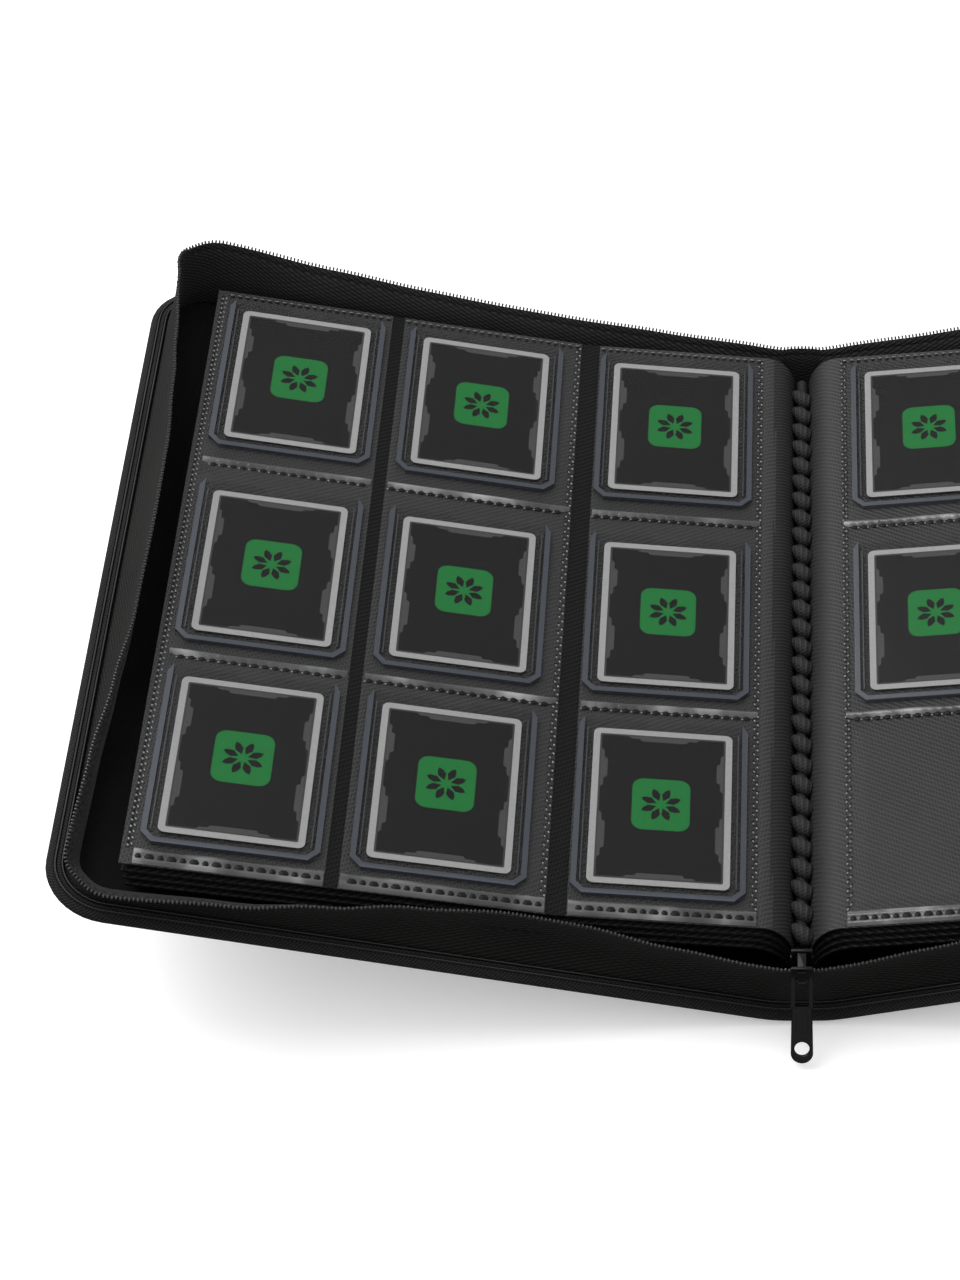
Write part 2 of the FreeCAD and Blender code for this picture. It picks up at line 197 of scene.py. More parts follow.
class Edge:
    """Stations round one half of the case: front run, corner, fore-edge, corner, rear run."""

    def __init__(self, case):
        S, V, R = case.reach, case.half, case.corner
        self.S, self.V, self.R = S, V, R
        runs = spread(0, 66, 3) + spread(66, S - R, 9)[1:]
        sides = spread(-(V - R), V - R, 8)
        arcs = [radians(9 * i) for i in range(1, 10)]
        self.runs, self.sides = runs, sides
        self.at = ([("front", s) for s in runs] + [("corner_front", a) for a in arcs] +
                   [("side", v) for v in sides] + [("corner_rear", a) for a in arcs] +
                   [("rear", s) for s in reversed(runs)])
        self.length = run_lengths([self.point(i, 0.0) for i in range(len(self.at))])

    def point(self, i, d):
        """Station i, moved inwards by d mm: its arc distance from the spine, and its Y."""
        kind, t = self.at[i]
        S, V, R = self.S, self.V, self.R
        if kind == "front":
            return (t, -(V - d))
        if kind == "rear":
            return (t, V - d)
        if kind == "side":
            return (S - d, t)
        r = max(R - d, 0.0)
        a = t - pi / 2 if kind == "corner_front" else t
        return (S - R + r * cos(a), (-1 if kind == "corner_front" else 1) * (V - R) + r * sin(a))

    def zip_line(self, i):
        """The zip at station i: height over the outer face, and distance in from the edge."""
        kind, t = self.at[i]
        if kind == "front":
            return table(t, ZIP_FRONT)
        if kind == "rear":
            return table(t, ZIP_REAR)
        if kind == "side":
            return table(t, ZIP_SIDE)
        f = t / (pi / 2)
        if kind == "corner_front":
            return table(f, [(0.0,) + ZIP_FRONT[-1][1:], (0.5, 21.5, 4.2),
                             (1.0,) + ZIP_SIDE[0][1:]])
        return table(f, [(0.0,) + ZIP_SIDE[-1][1:], (0.55, 38.5, 3.0),
                         (1.0,) + ZIP_REAR[-1][1:]])


# distance along the run, height over the outer face, distance in from the edge, all in mm
ZIP_FRONT = [(0, 38.6, 0.6), (28, 37.0, 2.2), (66, 35.0, 6.3), (108, 33.0, 12.6),
             (136, 32.4, 13.8), (180, 30.0, 11.0), (217, 27.0, 6.6), (254, 24.2, 2.2),
             (306, 21.2, 0.4)]
ZIP_SIDE = [(-169, 25.0, 8.4), (-132, 30.5, 10.6), (-91, 34.5, 14.6), (-52, 36.0, 18.0),
            (13, 36.5, 18.7), (55, 36.5, 18.4), (98, 37.0, 16.0), (130, 37.5, 13.3),
            (169, 38.5, 9.6)]
ZIP_REAR = [(0, 38.6, 0.6), (30, 36.6, 0.6), (80, 34.2, 0.8), (132, 32.4, 1.0),
            (164, 32.0, 0.9), (204, 32.6, 0.7), (249, 34.6, 0.3), (306, 39.0, 0.2)]


# ---- meshes ----------------------------------------------------------------------------------

class Skin:
    """Gathers vertices, faces, surface coordinates and finishes into one mesh, all in mm."""

    def __init__(self):
        self.verts, self.faces, self.marks, self.uv = [], [], [], []

    def patch(self, points, mark=0, uv=None, flip=False):
        """A grid of points. mark is a finish, or a function of the row. uv holds mm."""
        base, rows, cols = len(self.verts), len(points), len(points[0])
        for r in range(rows):
            for c in range(cols):
                self.verts.append(points[r][c])
                self.uv.append(uv[r][c] if uv else (points[r][c][0], points[r][c][1]))
        for r in range(rows - 1):
            for c in range(cols - 1):
                a, b = base + r * cols + c, base + (r + 1) * cols + c
                face = (a, a + 1, b + 1, b)
                self.faces.append(face[::-1] if flip else face)
                self.marks.append(mark(r) if callable(mark) else mark)

    def face(self, points, mark=0):
        """One flat face."""
        base = len(self.verts)
        self.verts += list(points)
        self.uv += [(p[0], p[1]) for p in points]
        self.faces.append(tuple(range(base, base + len(points))))
        self.marks.append(mark)

    def bead(self, place, size, mark=0):
        """A small rounded lump at a 4 by 4 placement, as long, wide and tall as size."""
        lx, ly, lz = (0.5 * d for d in size)
        rings = [(-lz, 0.55), (-0.35 * lz, 1.0), (0.45 * lz, 0.95), (lz, 0.5)]
        base = len(self.verts)
        for z, k in rings:
            for j in range(6):
                a = 2 * pi * j / 6
                p = place @ Vector((lx * k * cos(a) * 1.1, ly * k * sin(a) * 1.1, z))
                self.verts.append(tuple(p))
                self.uv.append((p.x, p.y))
        for r in range(3):
            for j in range(6):
                a, b = base + 6 * r + j, base + 6 * r + (j + 1) % 6
                self.faces.append((a, b, b + 6, a + 6))
                self.marks.append(mark)
        for r, order in ((0, -1), (3, 1)):
            self.faces.append(tuple(base + 6 * r + j for j in range(6))[::order])
            self.marks.append(mark)

    def build(self, name, finishes, weld=0.0, smooth=True, angle=50, outward=True):
        """Make the object, in metres."""
        mesh = bpy.data.meshes.new(name)
        mesh.from_pydata([tuple(c * MM for c in v) for v in self.verts], [], self.faces)
        layer = mesh.uv_layers.new(name="Cloth")
        for loop in mesh.loops:
            u, v = self.uv[loop.vertex_index]
            layer.data[loop.index].uv = (u * MM, v * MM)
        for polygon, mark in zip(mesh.polygons, self.marks):
            polygon.material_index = mark
        for finish in finishes:
            mesh.materials.append(finish)
        bm = bmesh.new()
        bm.from_mesh(mesh)
        if weld:
            bmesh.ops.remove_doubles(bm, verts=bm.verts, dist=weld * MM)
        if outward:
            bmesh.ops.recalc_face_normals(bm, faces=bm.faces)
        bm.to_mesh(mesh)
        bm.free()
        obj = bpy.data.objects.new(name, mesh)
        bpy.context.scene.collection.objects.link(obj)
        if smooth:
            mesh.shade_smooth()
            mesh.set_sharp_from_angle(angle=radians(angle))
        return obj


# ---- finishes --------------------------------------------------------------------------------

class Finish:
    """A small writer of shader trees."""

    def __init__(self, name, **sockets):
        old = bpy.data.materials.get(name)
        if old:
            bpy.data.materials.remove(old)
        self.material = bpy.data.materials.new(name)
        self.material.use_nodes = True
        self.tree = self.material.node_tree
        self.shader = self.tree.nodes["Principled BSDF"]
        for key, value in sockets.items():
            key = key.replace("_", " ")
            self.shader.inputs[key].default_value = (
                tuple(value) + (1.0,) if key.endswith(("Color", "Tint")) and len(value) == 3
                else value)

    def node(self, kind, links=(), **settings):
        """A new node. in_Name settings are its inputs, the others its own."""
        n = self.tree.nodes.new("ShaderNode" + kind)
        for key, value in settings.items():
            if key.startswith("in_"):
                n.inputs[key[3:]].default_value = value
            else:
                setattr(n, key, value)
        for slot, source in links:
            self.tree.links.new(source, n.inputs[slot])
        return n

    def math(self, operation, a, b=None):
        """A sum of sockets or plain numbers."""
        n = self.node("Math", operation=operation)
        for i, value in enumerate((a, b)):
            if value is None:
                continue
            if isinstance(value, (int, float)):
                n.inputs[i].default_value = value
            else:
                self.tree.links.new(value, n.inputs[i])
        return n.outputs[0]

    def uv(self):
        """The two surface coordinates, in metres along the cloth."""
        n = self.node("UVMap", uv_map="Cloth")
        return self.node("SeparateXYZ", [(0, n.outputs[0])]).outputs[:2]

    def noise(self, scale, detail):
        """Uneven noise through the solid piece."""
        where = self.node("TexCoord").outputs["Object"]
        return self.node("TexNoise", [("Vector", where)], in_Scale=scale, in_Detail=detail,
                         in_Roughness=0.5).outputs[0]

    def mix(self, a, share_a, b, share_b):
        """Shares of two heights or tones, added."""
        return self.math("ADD", self.math("MULTIPLY", a, share_a),
                         self.math("MULTIPLY", b, share_b))

    def ramp(self, value, stops):
        """Colours at their places along a value."""
        n = self.node("ValToRGB", [(0, value)])
        while len(n.color_ramp.elements) > len(stops):
            n.color_ramp.elements.remove(n.color_ramp.elements[-1])
        while len(n.color_ramp.elements) < len(stops):
            n.color_ramp.elements.new(0.5)
        for element, (where, colour) in zip(n.color_ramp.elements, stops):
            element.position = where
            element.color = tuple(colour) + (1.0,)
        return n.outputs[0]

    def bump(self, height, distance, strength=1.0, under=None):
        """Relief of a height, over another relief if there is one."""
        n = self.node("Bump", [("Height", height)], in_Distance=distance, in_Strength=strength)
        if under:
            self.tree.links.new(under, n.inputs["Normal"])
        return n.outputs[0]

    def set(self, socket, source):
        """Feed one of the shader's sockets."""
        self.tree.links.new(source, self.shader.inputs[socket])

    def tint(self, value, stops):
        """Colour the surface by a value."""
        self.set("Base Color", self.ramp(value, stops))


def shade(colour, k):
    """A colour made lighter or darker."""
    return tuple(min(1.0, c * k) for c in colour)


def waves(f, a, pitch):
    """A rounded ridge every pitch metres along a."""
    return f.math("ADD", f.math("MULTIPLY", f.math(
        "SINE", f.math("MULTIPLY", a, 2 * pi / pitch)), 0.5), 0.5)


WALL_SLANT = (0.42, 1.0)    # shares of the two surface directions in the walls' ribs


def twill(name, colour, pitch=0.0017, depth=0.0003, sheen=0.10, slant=(1.0, 0.9)):
    """Woven cloth with slanting ribs."""
    rough, contrast = 0.78, 0.65
    f = Finish(name, Base_Color=colour, Roughness=rough, Sheen_Weight=sheen, Sheen_Roughness=0.45,
               Sheen_Tint=(0.5, 0.5, 0.5), Specular_IOR_Level=0.12)
    u, v = f.uv()
    rib = waves(f, f.mix(u, slant[0], v, slant[1]), pitch)
    float_ = waves(f, f.math("SUBTRACT", v, f.math("MULTIPLY", u, 0.35)), pitch * 1.35)
    thread = f.math("MULTIPLY", rib, f.math("ADD", f.math("MULTIPLY", float_, 0.45), 0.55))
    fuzz, broad = f.noise(2600.0, 2.0), f.noise(24.0, 3.0)
    height = f.math("ADD", thread, f.math("MULTIPLY", fuzz, 0.22))
    f.tint(f.mix(thread, contrast, broad, 0.35),
           [(0.15, shade(colour, 0.30)), (0.50, colour), (0.95, shade(colour, 2.1))])
    f.set("Roughness", f.math("ADD", f.math("MULTIPLY", fuzz, 0.18), rough - 0.09))
    f.set("Normal", f.bump(height, depth))
    return f.material


def plain_cloth(name, colour, rough=0.85, weave=0.0007):
    """Close plain weave for lining and edging."""
    f = Finish(name, Base_Color=colour, Roughness=rough, Sheen_Weight=0.03, Sheen_Roughness=0.5,
               Sheen_Tint=(0.4, 0.4, 0.4), Specular_IOR_Level=0.06)
    u, v = f.uv()
    over = f.math("MULTIPLY", waves(f, u, weave), waves(f, v, weave))
    broad = f.noise(14.0, 4.0)
    f.tint(f.mix(over, 0.4, broad, 0.6),
           [(0.15, shade(colour, 0.6)), (0.75, shade(colour, 1.5))])
    f.set("Normal", f.bump(over, weave * 0.25, under=f.bump(broad, 0.0012, 0.35)))
    return f.material


def embossed(name, colour, rough=0.42, pitch=0.0026, depth=0.0003, shine=0.2):
    """Plastic sheet pressed with a small diamond pattern."""
    f = Finish(name, Base_Color=colour, Roughness=rough, Specular_IOR_Level=shine)
    u, v = f.uv()
    one = waves(f, f.math("ADD", f.math("MULTIPLY", u, 0.55), v), pitch)
    two = f.math("MULTIPLY", waves(f, f.math("SUBTRACT", u, f.math("MULTIPLY", v, 0.62)),
                                   pitch * 0.8), 0.6)
    diamond = f.math("SUBTRACT", f.math("MAXIMUM", one, two), f.math("MULTIPLY", f.math(
        "MINIMUM", one, two), 0.35))
    broad = f.noise(30.0, 3.0)
    f.tint(f.mix(diamond, 0.6, broad, 0.3),
           [(0.2, shade(colour, 0.62)), (0.5, colour), (0.8, shade(colour, 1.55))])
    f.set("Roughness", f.math("ADD", f.math("MULTIPLY", broad, 0.2), rough - 0.1))
    f.set("Normal", f.bump(diamond, depth, under=f.bump(broad, 0.0015, 0.3)))
    return f.material


def clear(name, colour, alpha, rough):
    """Thin clear plastic."""
    f = Finish(name, Base_Color=colour, Roughness=rough, Alpha=alpha, IOR=1.45,
               Specular_IOR_Level=0.3)
    f.material.surface_render_method = "BLENDED"
    return f.material


def print_ink(name, colour):
    """Printed card under a light varnish."""
    f = Finish(name, Base_Color=colour, Roughness=0.36, Specular_IOR_Level=0.12)
    grain = f.noise(900.0, 2.0)
    f.tint(grain, [(0.3, shade(colour, 0.93)), (0.7, shade(colour, 1.07))])
    f.set("Normal", f.bump(grain, 0.00002))
    return f.material


def gloss_metal(name, colour):
    """Cast zip hardware under gloss paint."""
    f = Finish(name, Base_Color=colour, Roughness=0.22, Coat_Weight=0.12,
               Coat_Roughness=0.1, Specular_IOR_Level=0.12)
    cast, wear = f.noise(700.0, 2.0), f.noise(160.0, 4.0)
    f.set("Roughness", f.math("ADD", f.math("MULTIPLY", wear, 0.2), 0.14))
    f.tint(wear, [(0.45, colour), (0.9, shade(colour, 1.8))])
    f.set("Normal", f.bump(cast, 0.00003))
    return f.material


def moulded(name, colour, rough=0.35, shine=0.6):
    """Small moulded plastic parts."""
    f = Finish(name, Base_Color=colour, Roughness=rough, Specular_IOR_Level=shine)
    f.tint(f.noise(1500.0, 2.0), [(0.3, shade(colour, 0.75)), (0.7, shade(colour, 1.3))])
    return f.material


def puffed_painted_highlight(name, colour):
    """Film blown up along a weld, glossy, and coloured with a painted highlight that is bright and
    uneven along its length.
    """
    f = Finish(name, Base_Color=colour, Roughness=0.16, Specular_IOR_Level=0.6)
    f.tint(f.noise(34.0, 2.0), [(0.40, shade(colour, 0.35)), (0.55, shade(colour, 0.9)),
                                (0.68, shade(colour, 3.4))])
    f.set("Normal", f.bump(f.noise(420.0, 2.0), 0.0004, 0.5))
    return f.material


FINISHES = {}


def finish_table():
    """How each named finish is made, and its own values."""
    case, pages = bpy.context.scene.binder_case, bpy.context.scene.binder_pages
    return {
        "cover twill": (twill, case.cloth),
        # the rim's ridge tops: the cover cloth made lighter, a painted highlight
        "edge line": (plain_cloth, shade(case.cloth, 4.2), 0.6, 0.0009),
        # the groove walls beside the ridges: the cover cloth made darker, painted shade
        "edge groove": (plain_cloth, shade(case.cloth, 0.3)),
        "gusset twill": (twill, case.gusset, 0.0021, 0.0004, 0.06, WALL_SLANT),
        "lining": (plain_cloth, case.lining),
        "zip tape": (twill, shade(case.cloth, 1.15), 0.0019, 0.00025, 0.10, WALL_SLANT),
        "teeth": (moulded, (0.045, 0.045, 0.045)),
        "hardware": (gloss_metal, (0.0022, 0.0022, 0.0024)),
        "binding weave": (embossed, (0.018, 0.018, 0.0186), 0.6, 0.0021, 0.0004),
        "page": (embossed, pages.sheet),
        # the sheet made darker in the gaps between the columns: painted shade, standing in for the
        # shadow of the films' open edges
        "page gap": (embossed, shade(pages.sheet, 0.25), 0.42, 0.0026, 0.0003, 0.05),
        # the sheet made darker on the leaves under the top one: painted shade
        "page below": (embossed, shade(pages.sheet, 0.35), 0.42, 0.0026, 0.0003, 0.15),
        "film": (clear, (0.018, 0.018, 0.0185), 0.12, 0.22),
        # light grey beads on the welds: painted highlights, standing in for glints
        "weld": (moulded, (0.13, 0.13, 0.132), 0.16, 0.8),
        "weld pit": (moulded, (0.005, 0.005, 0.0053), 0.4, 0.12),
        # a bright painted highlight along the puffed ridges of the front hem and the level welds
        "hem gloss": (puffed_painted_highlight, (0.085, 0.085, 0.086)),
        "sleeve band": (moulded, pages.band, 0.3),
        "sleeve face": (clear, (0.008, 0.009, 0.010), 0.06, 0.15),
        "slot line": (moulded, (0.03, 0.033, 0.036), 0.3),
        "card edge": (print_ink, (0.34, 0.34, 0.34)),
        "card rule": (print_ink, (0.05, 0.05, 0.05)),
        "card field": (print_ink, (0.0075, 0.0075, 0.0078)),
        "card strip": (print_ink, (0.062, 0.062, 0.062)),
        "card emblem": (print_ink, pages.emblem),
    }


def finish(name):
    """The named finish, made the first time it is asked for."""
    if name not in FINISHES:
        maker, *values = finish_table()[name]
        FINISHES[name] = maker(name, *values)
    return FINISHES[name]


def finishes(*names):
    """A piece's finishes, in the order of its marks."""
    return [finish(name) for name in names]


# ---- the case --------------------------------------------------------------------------------

# distance in from the edge and height over the outer face, from the bottom round to the wall
RIM = [(27.9, 0.0), (16, 0.0), (8, 0.05), (4, 0.35), (1.6, 1.2), (0.4, 2.4), (0.0, 3.6),
       (0.3, 4.6), (1.1, 5.4), (2.2, 5.95), (2.9, 6.1), (3.2, 5.5), (3.45, 6.95), (3.95, 6.95),
       (4.25, 5.7), (4.7, 6.5), (6.0, 6.95), (6.25, 6.2), (6.5, 7.65), (7.0, 7.65), (7.3, 6.2),
       (8.0, 6.0), (8.6, 5.4), (9.6, 5.2)]
# rim rows that carry a painted highlight on the ridge tops, then rows with painted shade on the
# groove walls
RIM_HIGHLIGHT_ROWS = (12, 18)
RIM_SHADE_ROWS = (10, 14, 17, 20, 21, 22)
LINING_FOOT = 9.3       # the lining's edge, in from the case's edge
LINING_LOW, LINING_RISE = 5.6, 1.4    # its height at its edge, and its crown
CROWN_RUN = 16.0        # how far in the crown is full
WALL_FOOT = 8.0         # the wall's foot, in from the case's edge
WALL_LOW = 5.6          # and its height over the outer face
WALL_CLOTH = 33.0       # cloth between the wall's foot and the zip
BELLY_MOST = 4.5        # how far its slack may bulge inwards
PULLER_PIVOT, PULLER_LEAN = (0, -199.4, 38.5), radians(29)


def case_half(side, name, edge):
    """One half of the outer skin, from the spine's middle out: bottom, rolled rim and groove."""
    skin = Skin()
    rows, uv = [], []
    for (d, w), run in zip(RIM, run_lengths(RIM)):
        rows.append([on_case(side, *edge.point(i, d), w) for i in range(len(edge.at))])
        uv.append([(length, run) for length in edge.length])

    def mark(r):
        # the lighter finish on the ridge tops is a painted highlight, the darker one on the groove
        # walls painted shade
        return 1 if r in RIM_HIGHLIGHT_ROWS else 2 if r in RIM_SHADE_ROWS else 0
    skin.patch(rows, mark, uv)
    d = RIM[0][0]
    across = [-(edge.V - d)] + edge.sides[1:-1] + [edge.V - d]
    along = edge.runs[:-1] + [edge.S - d]
    skin.patch([[on_case(side, s, v, 0.0) for v in across] for s in along], 0,
               [[(s, v) for v in across] for s in along])
    shell = skin.build(name + "_case_shell", finishes("cover twill", "edge line", "edge groove"),
                       0.35)
    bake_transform(shell)
    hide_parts(name + "_cover_skin", name + "_cover_board", name + "_hinge_strip",
                "spine_skin" if side < 0 else "spine_board")


def lining_half(side, name, edge):
    """The padded lining of one half, a little crowned between its edges."""
    skin = Skin()
    end, rear = edge.S - LINING_FOOT, edge.V - LINING_FOOT
    along = edge.runs[:-1] + [end - 14, end - 6, end]
    across = [-rear, 6 - rear] + edge.sides[1:-1] + [rear - 6, rear]

    def crown(s, v):
        """Height of the padding's face: lowest at the rim, full from CROWN_RUN in."""
        share = min(max(min(end - s, rear - abs(v)) / CROWN_RUN, 0.0), 1.0)
        return LINING_LOW + LINING_RISE * (1 - (1 - share) ** 2)
    uv = [[(s, v) for v in across] for s in along]
    skin.patch([[on_case(side, s, v, crown(s, v)) for v in across] for s in along], 0, uv)
    skin.patch([[on_case(side, s, v, 5.0) for v in across] for s in along], 0, uv, flip=True)
    lining = skin.build(name + "_lining", finishes("lining"))
    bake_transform(lining)
    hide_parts(name + "_cover_lining", *(["spine_lining"] if side < 0 else []))


def wall_point(edge, side, i, t, push):
    """A point on the gusset wall at station i: t runs from foot to zip, push is inwards."""
    high, inset = edge.zip_line(i)
    chord = dist((high, inset), (WALL_LOW, WALL_FOOT))
    slack = max(0.0, WALL_CLOTH - chord)
    belly = min(BELLY_MOST, sqrt(0.375 * chord * slack)) * sin(pi * t)
    d = WALL_FOOT + (inset - WALL_FOOT) * t ** 1.25 + belly + push
    s, v = edge.point(i, min(d, edge.R - 0.5) if "corner" in edge.at[i][0] else d)
    return on_case(side, s, v, WALL_LOW + (high - WALL_LOW) * t)


def gusset_half(side, name, edge):
    """The cloth wall that carries the zip: outer cloth, tape at the top, lining inside."""
    skin = Skin()
    outside = [(t, 0.0) for t in (0, 0.08, 0.2, 0.35, 0.5, 0.65, 0.78, 0.9, 0.97, 1.0)]
    tape = [(1.01, 0.6), (1.0, 1.2), (0.93, 1.2), (0.915, 0.85), (0.90, 1.3)]
    inside = [(t, 1.3) for t in (0.8, 0.65, 0.5, 0.3, 0.12, 0.02)]
    rows, uv = [], []
    for t, push in outside + tape + inside:
        rows.append([wall_point(edge, side, i, t, push) for i in range(len(edge.at))])
        uv.append([(length, 36.0 * t + push) for length in edge.length])
    skin.patch(rows, lambda r: 0 if r < 8 else 1, uv)
    wall = skin.build(name + "_gusset", finishes("gusset twill", "zip tape"))
    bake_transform(wall)
    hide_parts(name + "_gusset_front", name + "_gusset_side", name + "_gusset_rear",
                name + "_end_fold_front", name + "_end_fold_rear", name + "_zip_tape",
                "spine_end_front" if side < 0 else "spine_end_rear")


def teeth_half(side, name, edge, pitch):
    """The moulded coil along the top of one half's zip tape."""
    skin = Skin()
    line = [Vector(wall_point(edge, side, i, 1.03, 0.55)) for i in range(len(edge.at))]
    low = [Vector(wall_point(edge, side, i, 0.93, 0.55)) for i in range(len(edge.at))]
    reach, total, i = pitch, 0.0, 0
    for a, b, la, lb in zip(line, line[1:], low, low[1:]):
        span = (b - a).length
        ahead = (b - a).normalized()
        while reach <= total + span:
            f = (reach - total) / span
            here = a.lerp(b, f)
            up = (here - la.lerp(lb, f)).normalized()
            out = ahead.cross(up).normalized()
            place = Matrix((ahead, out, up)).transposed().to_4x4()
            place.translation = here + out * 0.1 * (1 if i % 2 else -1)
            skin.bead(place, (pitch * 0.5, 1.5, 1.8))
            reach += pitch
            i += 1
        total += span
    teeth = skin.build(name + "_teeth", finishes("teeth"), outward=False)
    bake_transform(teeth)
    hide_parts(name + "_zip_teeth")


# ---- pages -----------------------------------------------------------------------------------

FOLD_X, FOLD_Z = 108.0, 57.2    # the bend between the second and third columns
FOLD_RUN = 16                   # and how far it takes
SLOPE_OUT, SLOPE_IN = radians(11.5), radians(6.0)
GUTTER = 18.8                   # where a page leaves its roll at the binding
PAGE_REACH = 289.5
SHEET_LIFT = -1.4               # the backing sheet, under the middle of the cards
WELD_LIFT = SHEET_LIFT + 0.55
LEAF_PITCH = 3.0
# welded edge, open edge and outer side of the sleeve, from the spine's middle, and the slope
COLUMNS = ((284.5, 204.6, 282.9, SLOPE_OUT), (111.0, 198.6, 195.3, SLOPE_OUT),
           (19.4, 101.9, 101.2, SLOPE_IN))
POCKETS = tuple(tuple(sorted(column[:2])) for column in COLUMNS)
ROWS = (123.5, -0.4, -116.4)    # the sleeves' middles
WELD_ROWS = (62.6, -58.8)       # the level welds


def page_z(x):
    """Height of the middle of the cards at a distance from the spine."""
    return FOLD_Z + (x - FOLD_X) * tan(SLOPE_OUT if x > FOLD_X else SLOPE_IN)


def page_point(x, lift):
    """Distance from the spine and height of a point lifted off the middle of the cards."""
    a = SLOPE_IN + (SLOPE_OUT - SLOPE_IN) * ease((x - FOLD_X) / FOLD_RUN + 0.5)
    return (x - lift * sin(a), page_z(x) + lift * cos(a))


def on_page(side, x, y, lift):
    """The same point in space, on one side."""
    px, pz = page_point(x, lift)
    return (side * px, y, pz)


def leaf_path(start_angle, x_out, lift, inner=3.6, foot=26.0, reach=PAGE_REACH):
    """Cross section of one leaf: a quarter turn up from the binding, then out along the page."""
    top = page_point(x_out, lift)
    a, b = x_out - inner, top[1] - foot
    turn = [radians(start_angle + (90 - start_angle) * i / 10.0) for i in range(10)]
    points = [(x_out - a * cos(t), foot + b * sin(t)) for t in turn]
    stations = (spread(x_out, 94, 8) + spread(94, 101.9, 4)[1:] + spread(101.9, 111.0, 3)[1:] +
                spread(111.0, 198.6, 9)[1:] + [204.6] + spread(204.6, reach, 9)[1:])
    return points + [page_point(x, lift) for x in stations]


def leaf_slab(skin, side, path, y0, y1, thick, mark=0):
    """A sheet of the given thickness that follows a cross section."""
    ys = [y0, y0 + 1.2, y0 + 4] + spread(y0 + 12, y1 - 12, 14) + [y1 - 4, y1 - 1.2, y1]
    runs = run_lengths(path)
    top, bottom = [], []
    for k, (x, z) in enumerate(path):
        q, p = path[min(k + 1, len(path) - 1)], path[max(k - 1, 0)]
        size = dist(p, q)
        nx, nz = (p[1] - q[1]) / size * thick / 2, (q[0] - p[0]) / size * thick / 2
        ripple = [0.22 * sin(y * 0.045 + runs[k] * 0.02) * min(1.0, runs[k] / 60) for y in ys]
        top.append([(side * (x + nx), y, z + nz + r) for y, r in zip(ys, ripple)])
        bottom.append([(side * (x - nx), y, z - nz + r) for y, r in zip(ys, ripple)])
    uv = [[(u, y) for y in ys] for u in runs]
    skin.patch(top, mark, uv)
    skin.patch(bottom, 0, uv, flip=True)
    for rows in ([top[0], bottom[0]], [bottom[-1], top[-1]]):
        skin.patch(rows, 0, [[(0, y) for y in ys], [(thick, y) for y in ys]])
    for j in (0, -1):
        skin.patch([[r[j] for r in top], [r[j] for r in bottom]], 0,
                   [[(u, 0) for u in runs], [(u, thick) for u in runs]])


def gap_shade_rows(path):
    """Picks the darker finish, painted shade, where no pocket film lies over the sheet, between
    the columns.
    """
    def mark(r):
        x = (path[r][0] + path[r + 1][0]) / 2
        return 1 if 101.5 < x < 110 or 199 < x < 204.4 else 0
    return mark


def top_sheet(side, name, pages):
    """The top leaf's backing sheet, run in to the binding."""
    skin = Skin()
    path = leaf_path(0 if side > 0 else 67, GUTTER, SHEET_LIFT)
    leaf_slab(skin, side, path, -pages.bottom, pages.top, 0.6, gap_shade_rows(path))
    obj = skin.build(name + "_page_sheet", finishes("page", "page gap"), 0.01)
    if side < 0:
        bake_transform(obj)
        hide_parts("left_leaf_1", "left_gutter_leaf_1")
        strip = Skin()
        leaf_slab(strip, side, leaf_path(0, GUTTER, SHEET_LIFT)[:9], -pages.bottom, pages.top,
                  0.7)
        piece = strip.build("left_gutter_strip", finishes("binding weave"), 0.01)
        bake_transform(piece)
        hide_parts("left_gutter_strips")
    else:
        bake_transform(obj)
        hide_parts("right_leaf_1", "right_gutter_strips")


def lower_leaf(side, name, k, pages):
    """A leaf under the top one: its sheet."""
    skin = Skin()
    lift = SHEET_LIFT - LEAF_PITCH * (k - 1) - 0.6
    shift, sag = 2.6 * (k - 1), 1.2 * (k - 1)
    path = leaf_path(0, GUTTER + shift, lift, 3.9 + 0.3 * k, 25.0 - 1.5 * k, PAGE_REACH - sag)
    leaf_slab(skin, side, path, -pages.bottom - sag, pages.top - sag * 0.4, 1.1)
    # the darker finish is painted shade on the leaves lying under the top one
    obj = skin.build("%s_page_%d" % (name, k), finishes("page below"), 0.01)
    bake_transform(obj)
    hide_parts("%s_leaf_%d" % (name, k))


def film_lift(weld, x, y, pages):
    """Lift of the pocket film: down at its welds, up over a sleeve, with a slight ripple."""
    rise = min([ease(abs(x - weld) / 7.0), ease((y + pages.bottom - 8.5) / 5.0)] +
               [ease((abs(y - row) - 1.6) / 7.0) for row in WELD_ROWS + (pages.top + 3,)])
    ripple = 0.10 * sin(x * 0.13 + y * 0.05) * sin(y * 0.07)
    return SHEET_LIFT + 0.45 + rise * 2.35 + ripple


def pocket_films(side, name, body, pages):
    """The clear pocket fronts."""
    skin = Skin()
    for (low, high), (weld, *_) in zip(POCKETS, COLUMNS):
        xs = spread(low, high, 3.4)
        ys = spread(-pages.bottom + 0.8, pages.top - 0.8, 3.4)
        skin.patch([[on_page(side, x, y, film_lift(weld, x, y, pages)) for y in ys] for x in xs],
                   0, [[(x, y) for y in ys] for x in xs])
    films = skin.build(name + "_films", finishes("film"))
    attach(films, body)
    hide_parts(name + "_pocket_films")


def dash(welds, side, x, y, lift, size, turn=0.0, mark=0):
    """A short pressed bead on the page, turned in its plane."""
    slope = SLOPE_OUT if x > FOLD_X else SLOPE_IN
    place = (Matrix.Translation(on_page(side, x, y, WELD_LIFT + lift)) @
             Matrix.Rotation(-side * slope, 4, "Y") @ Matrix.Rotation(side * turn, 4, "Z"))
    welds.bead(place, size, mark)


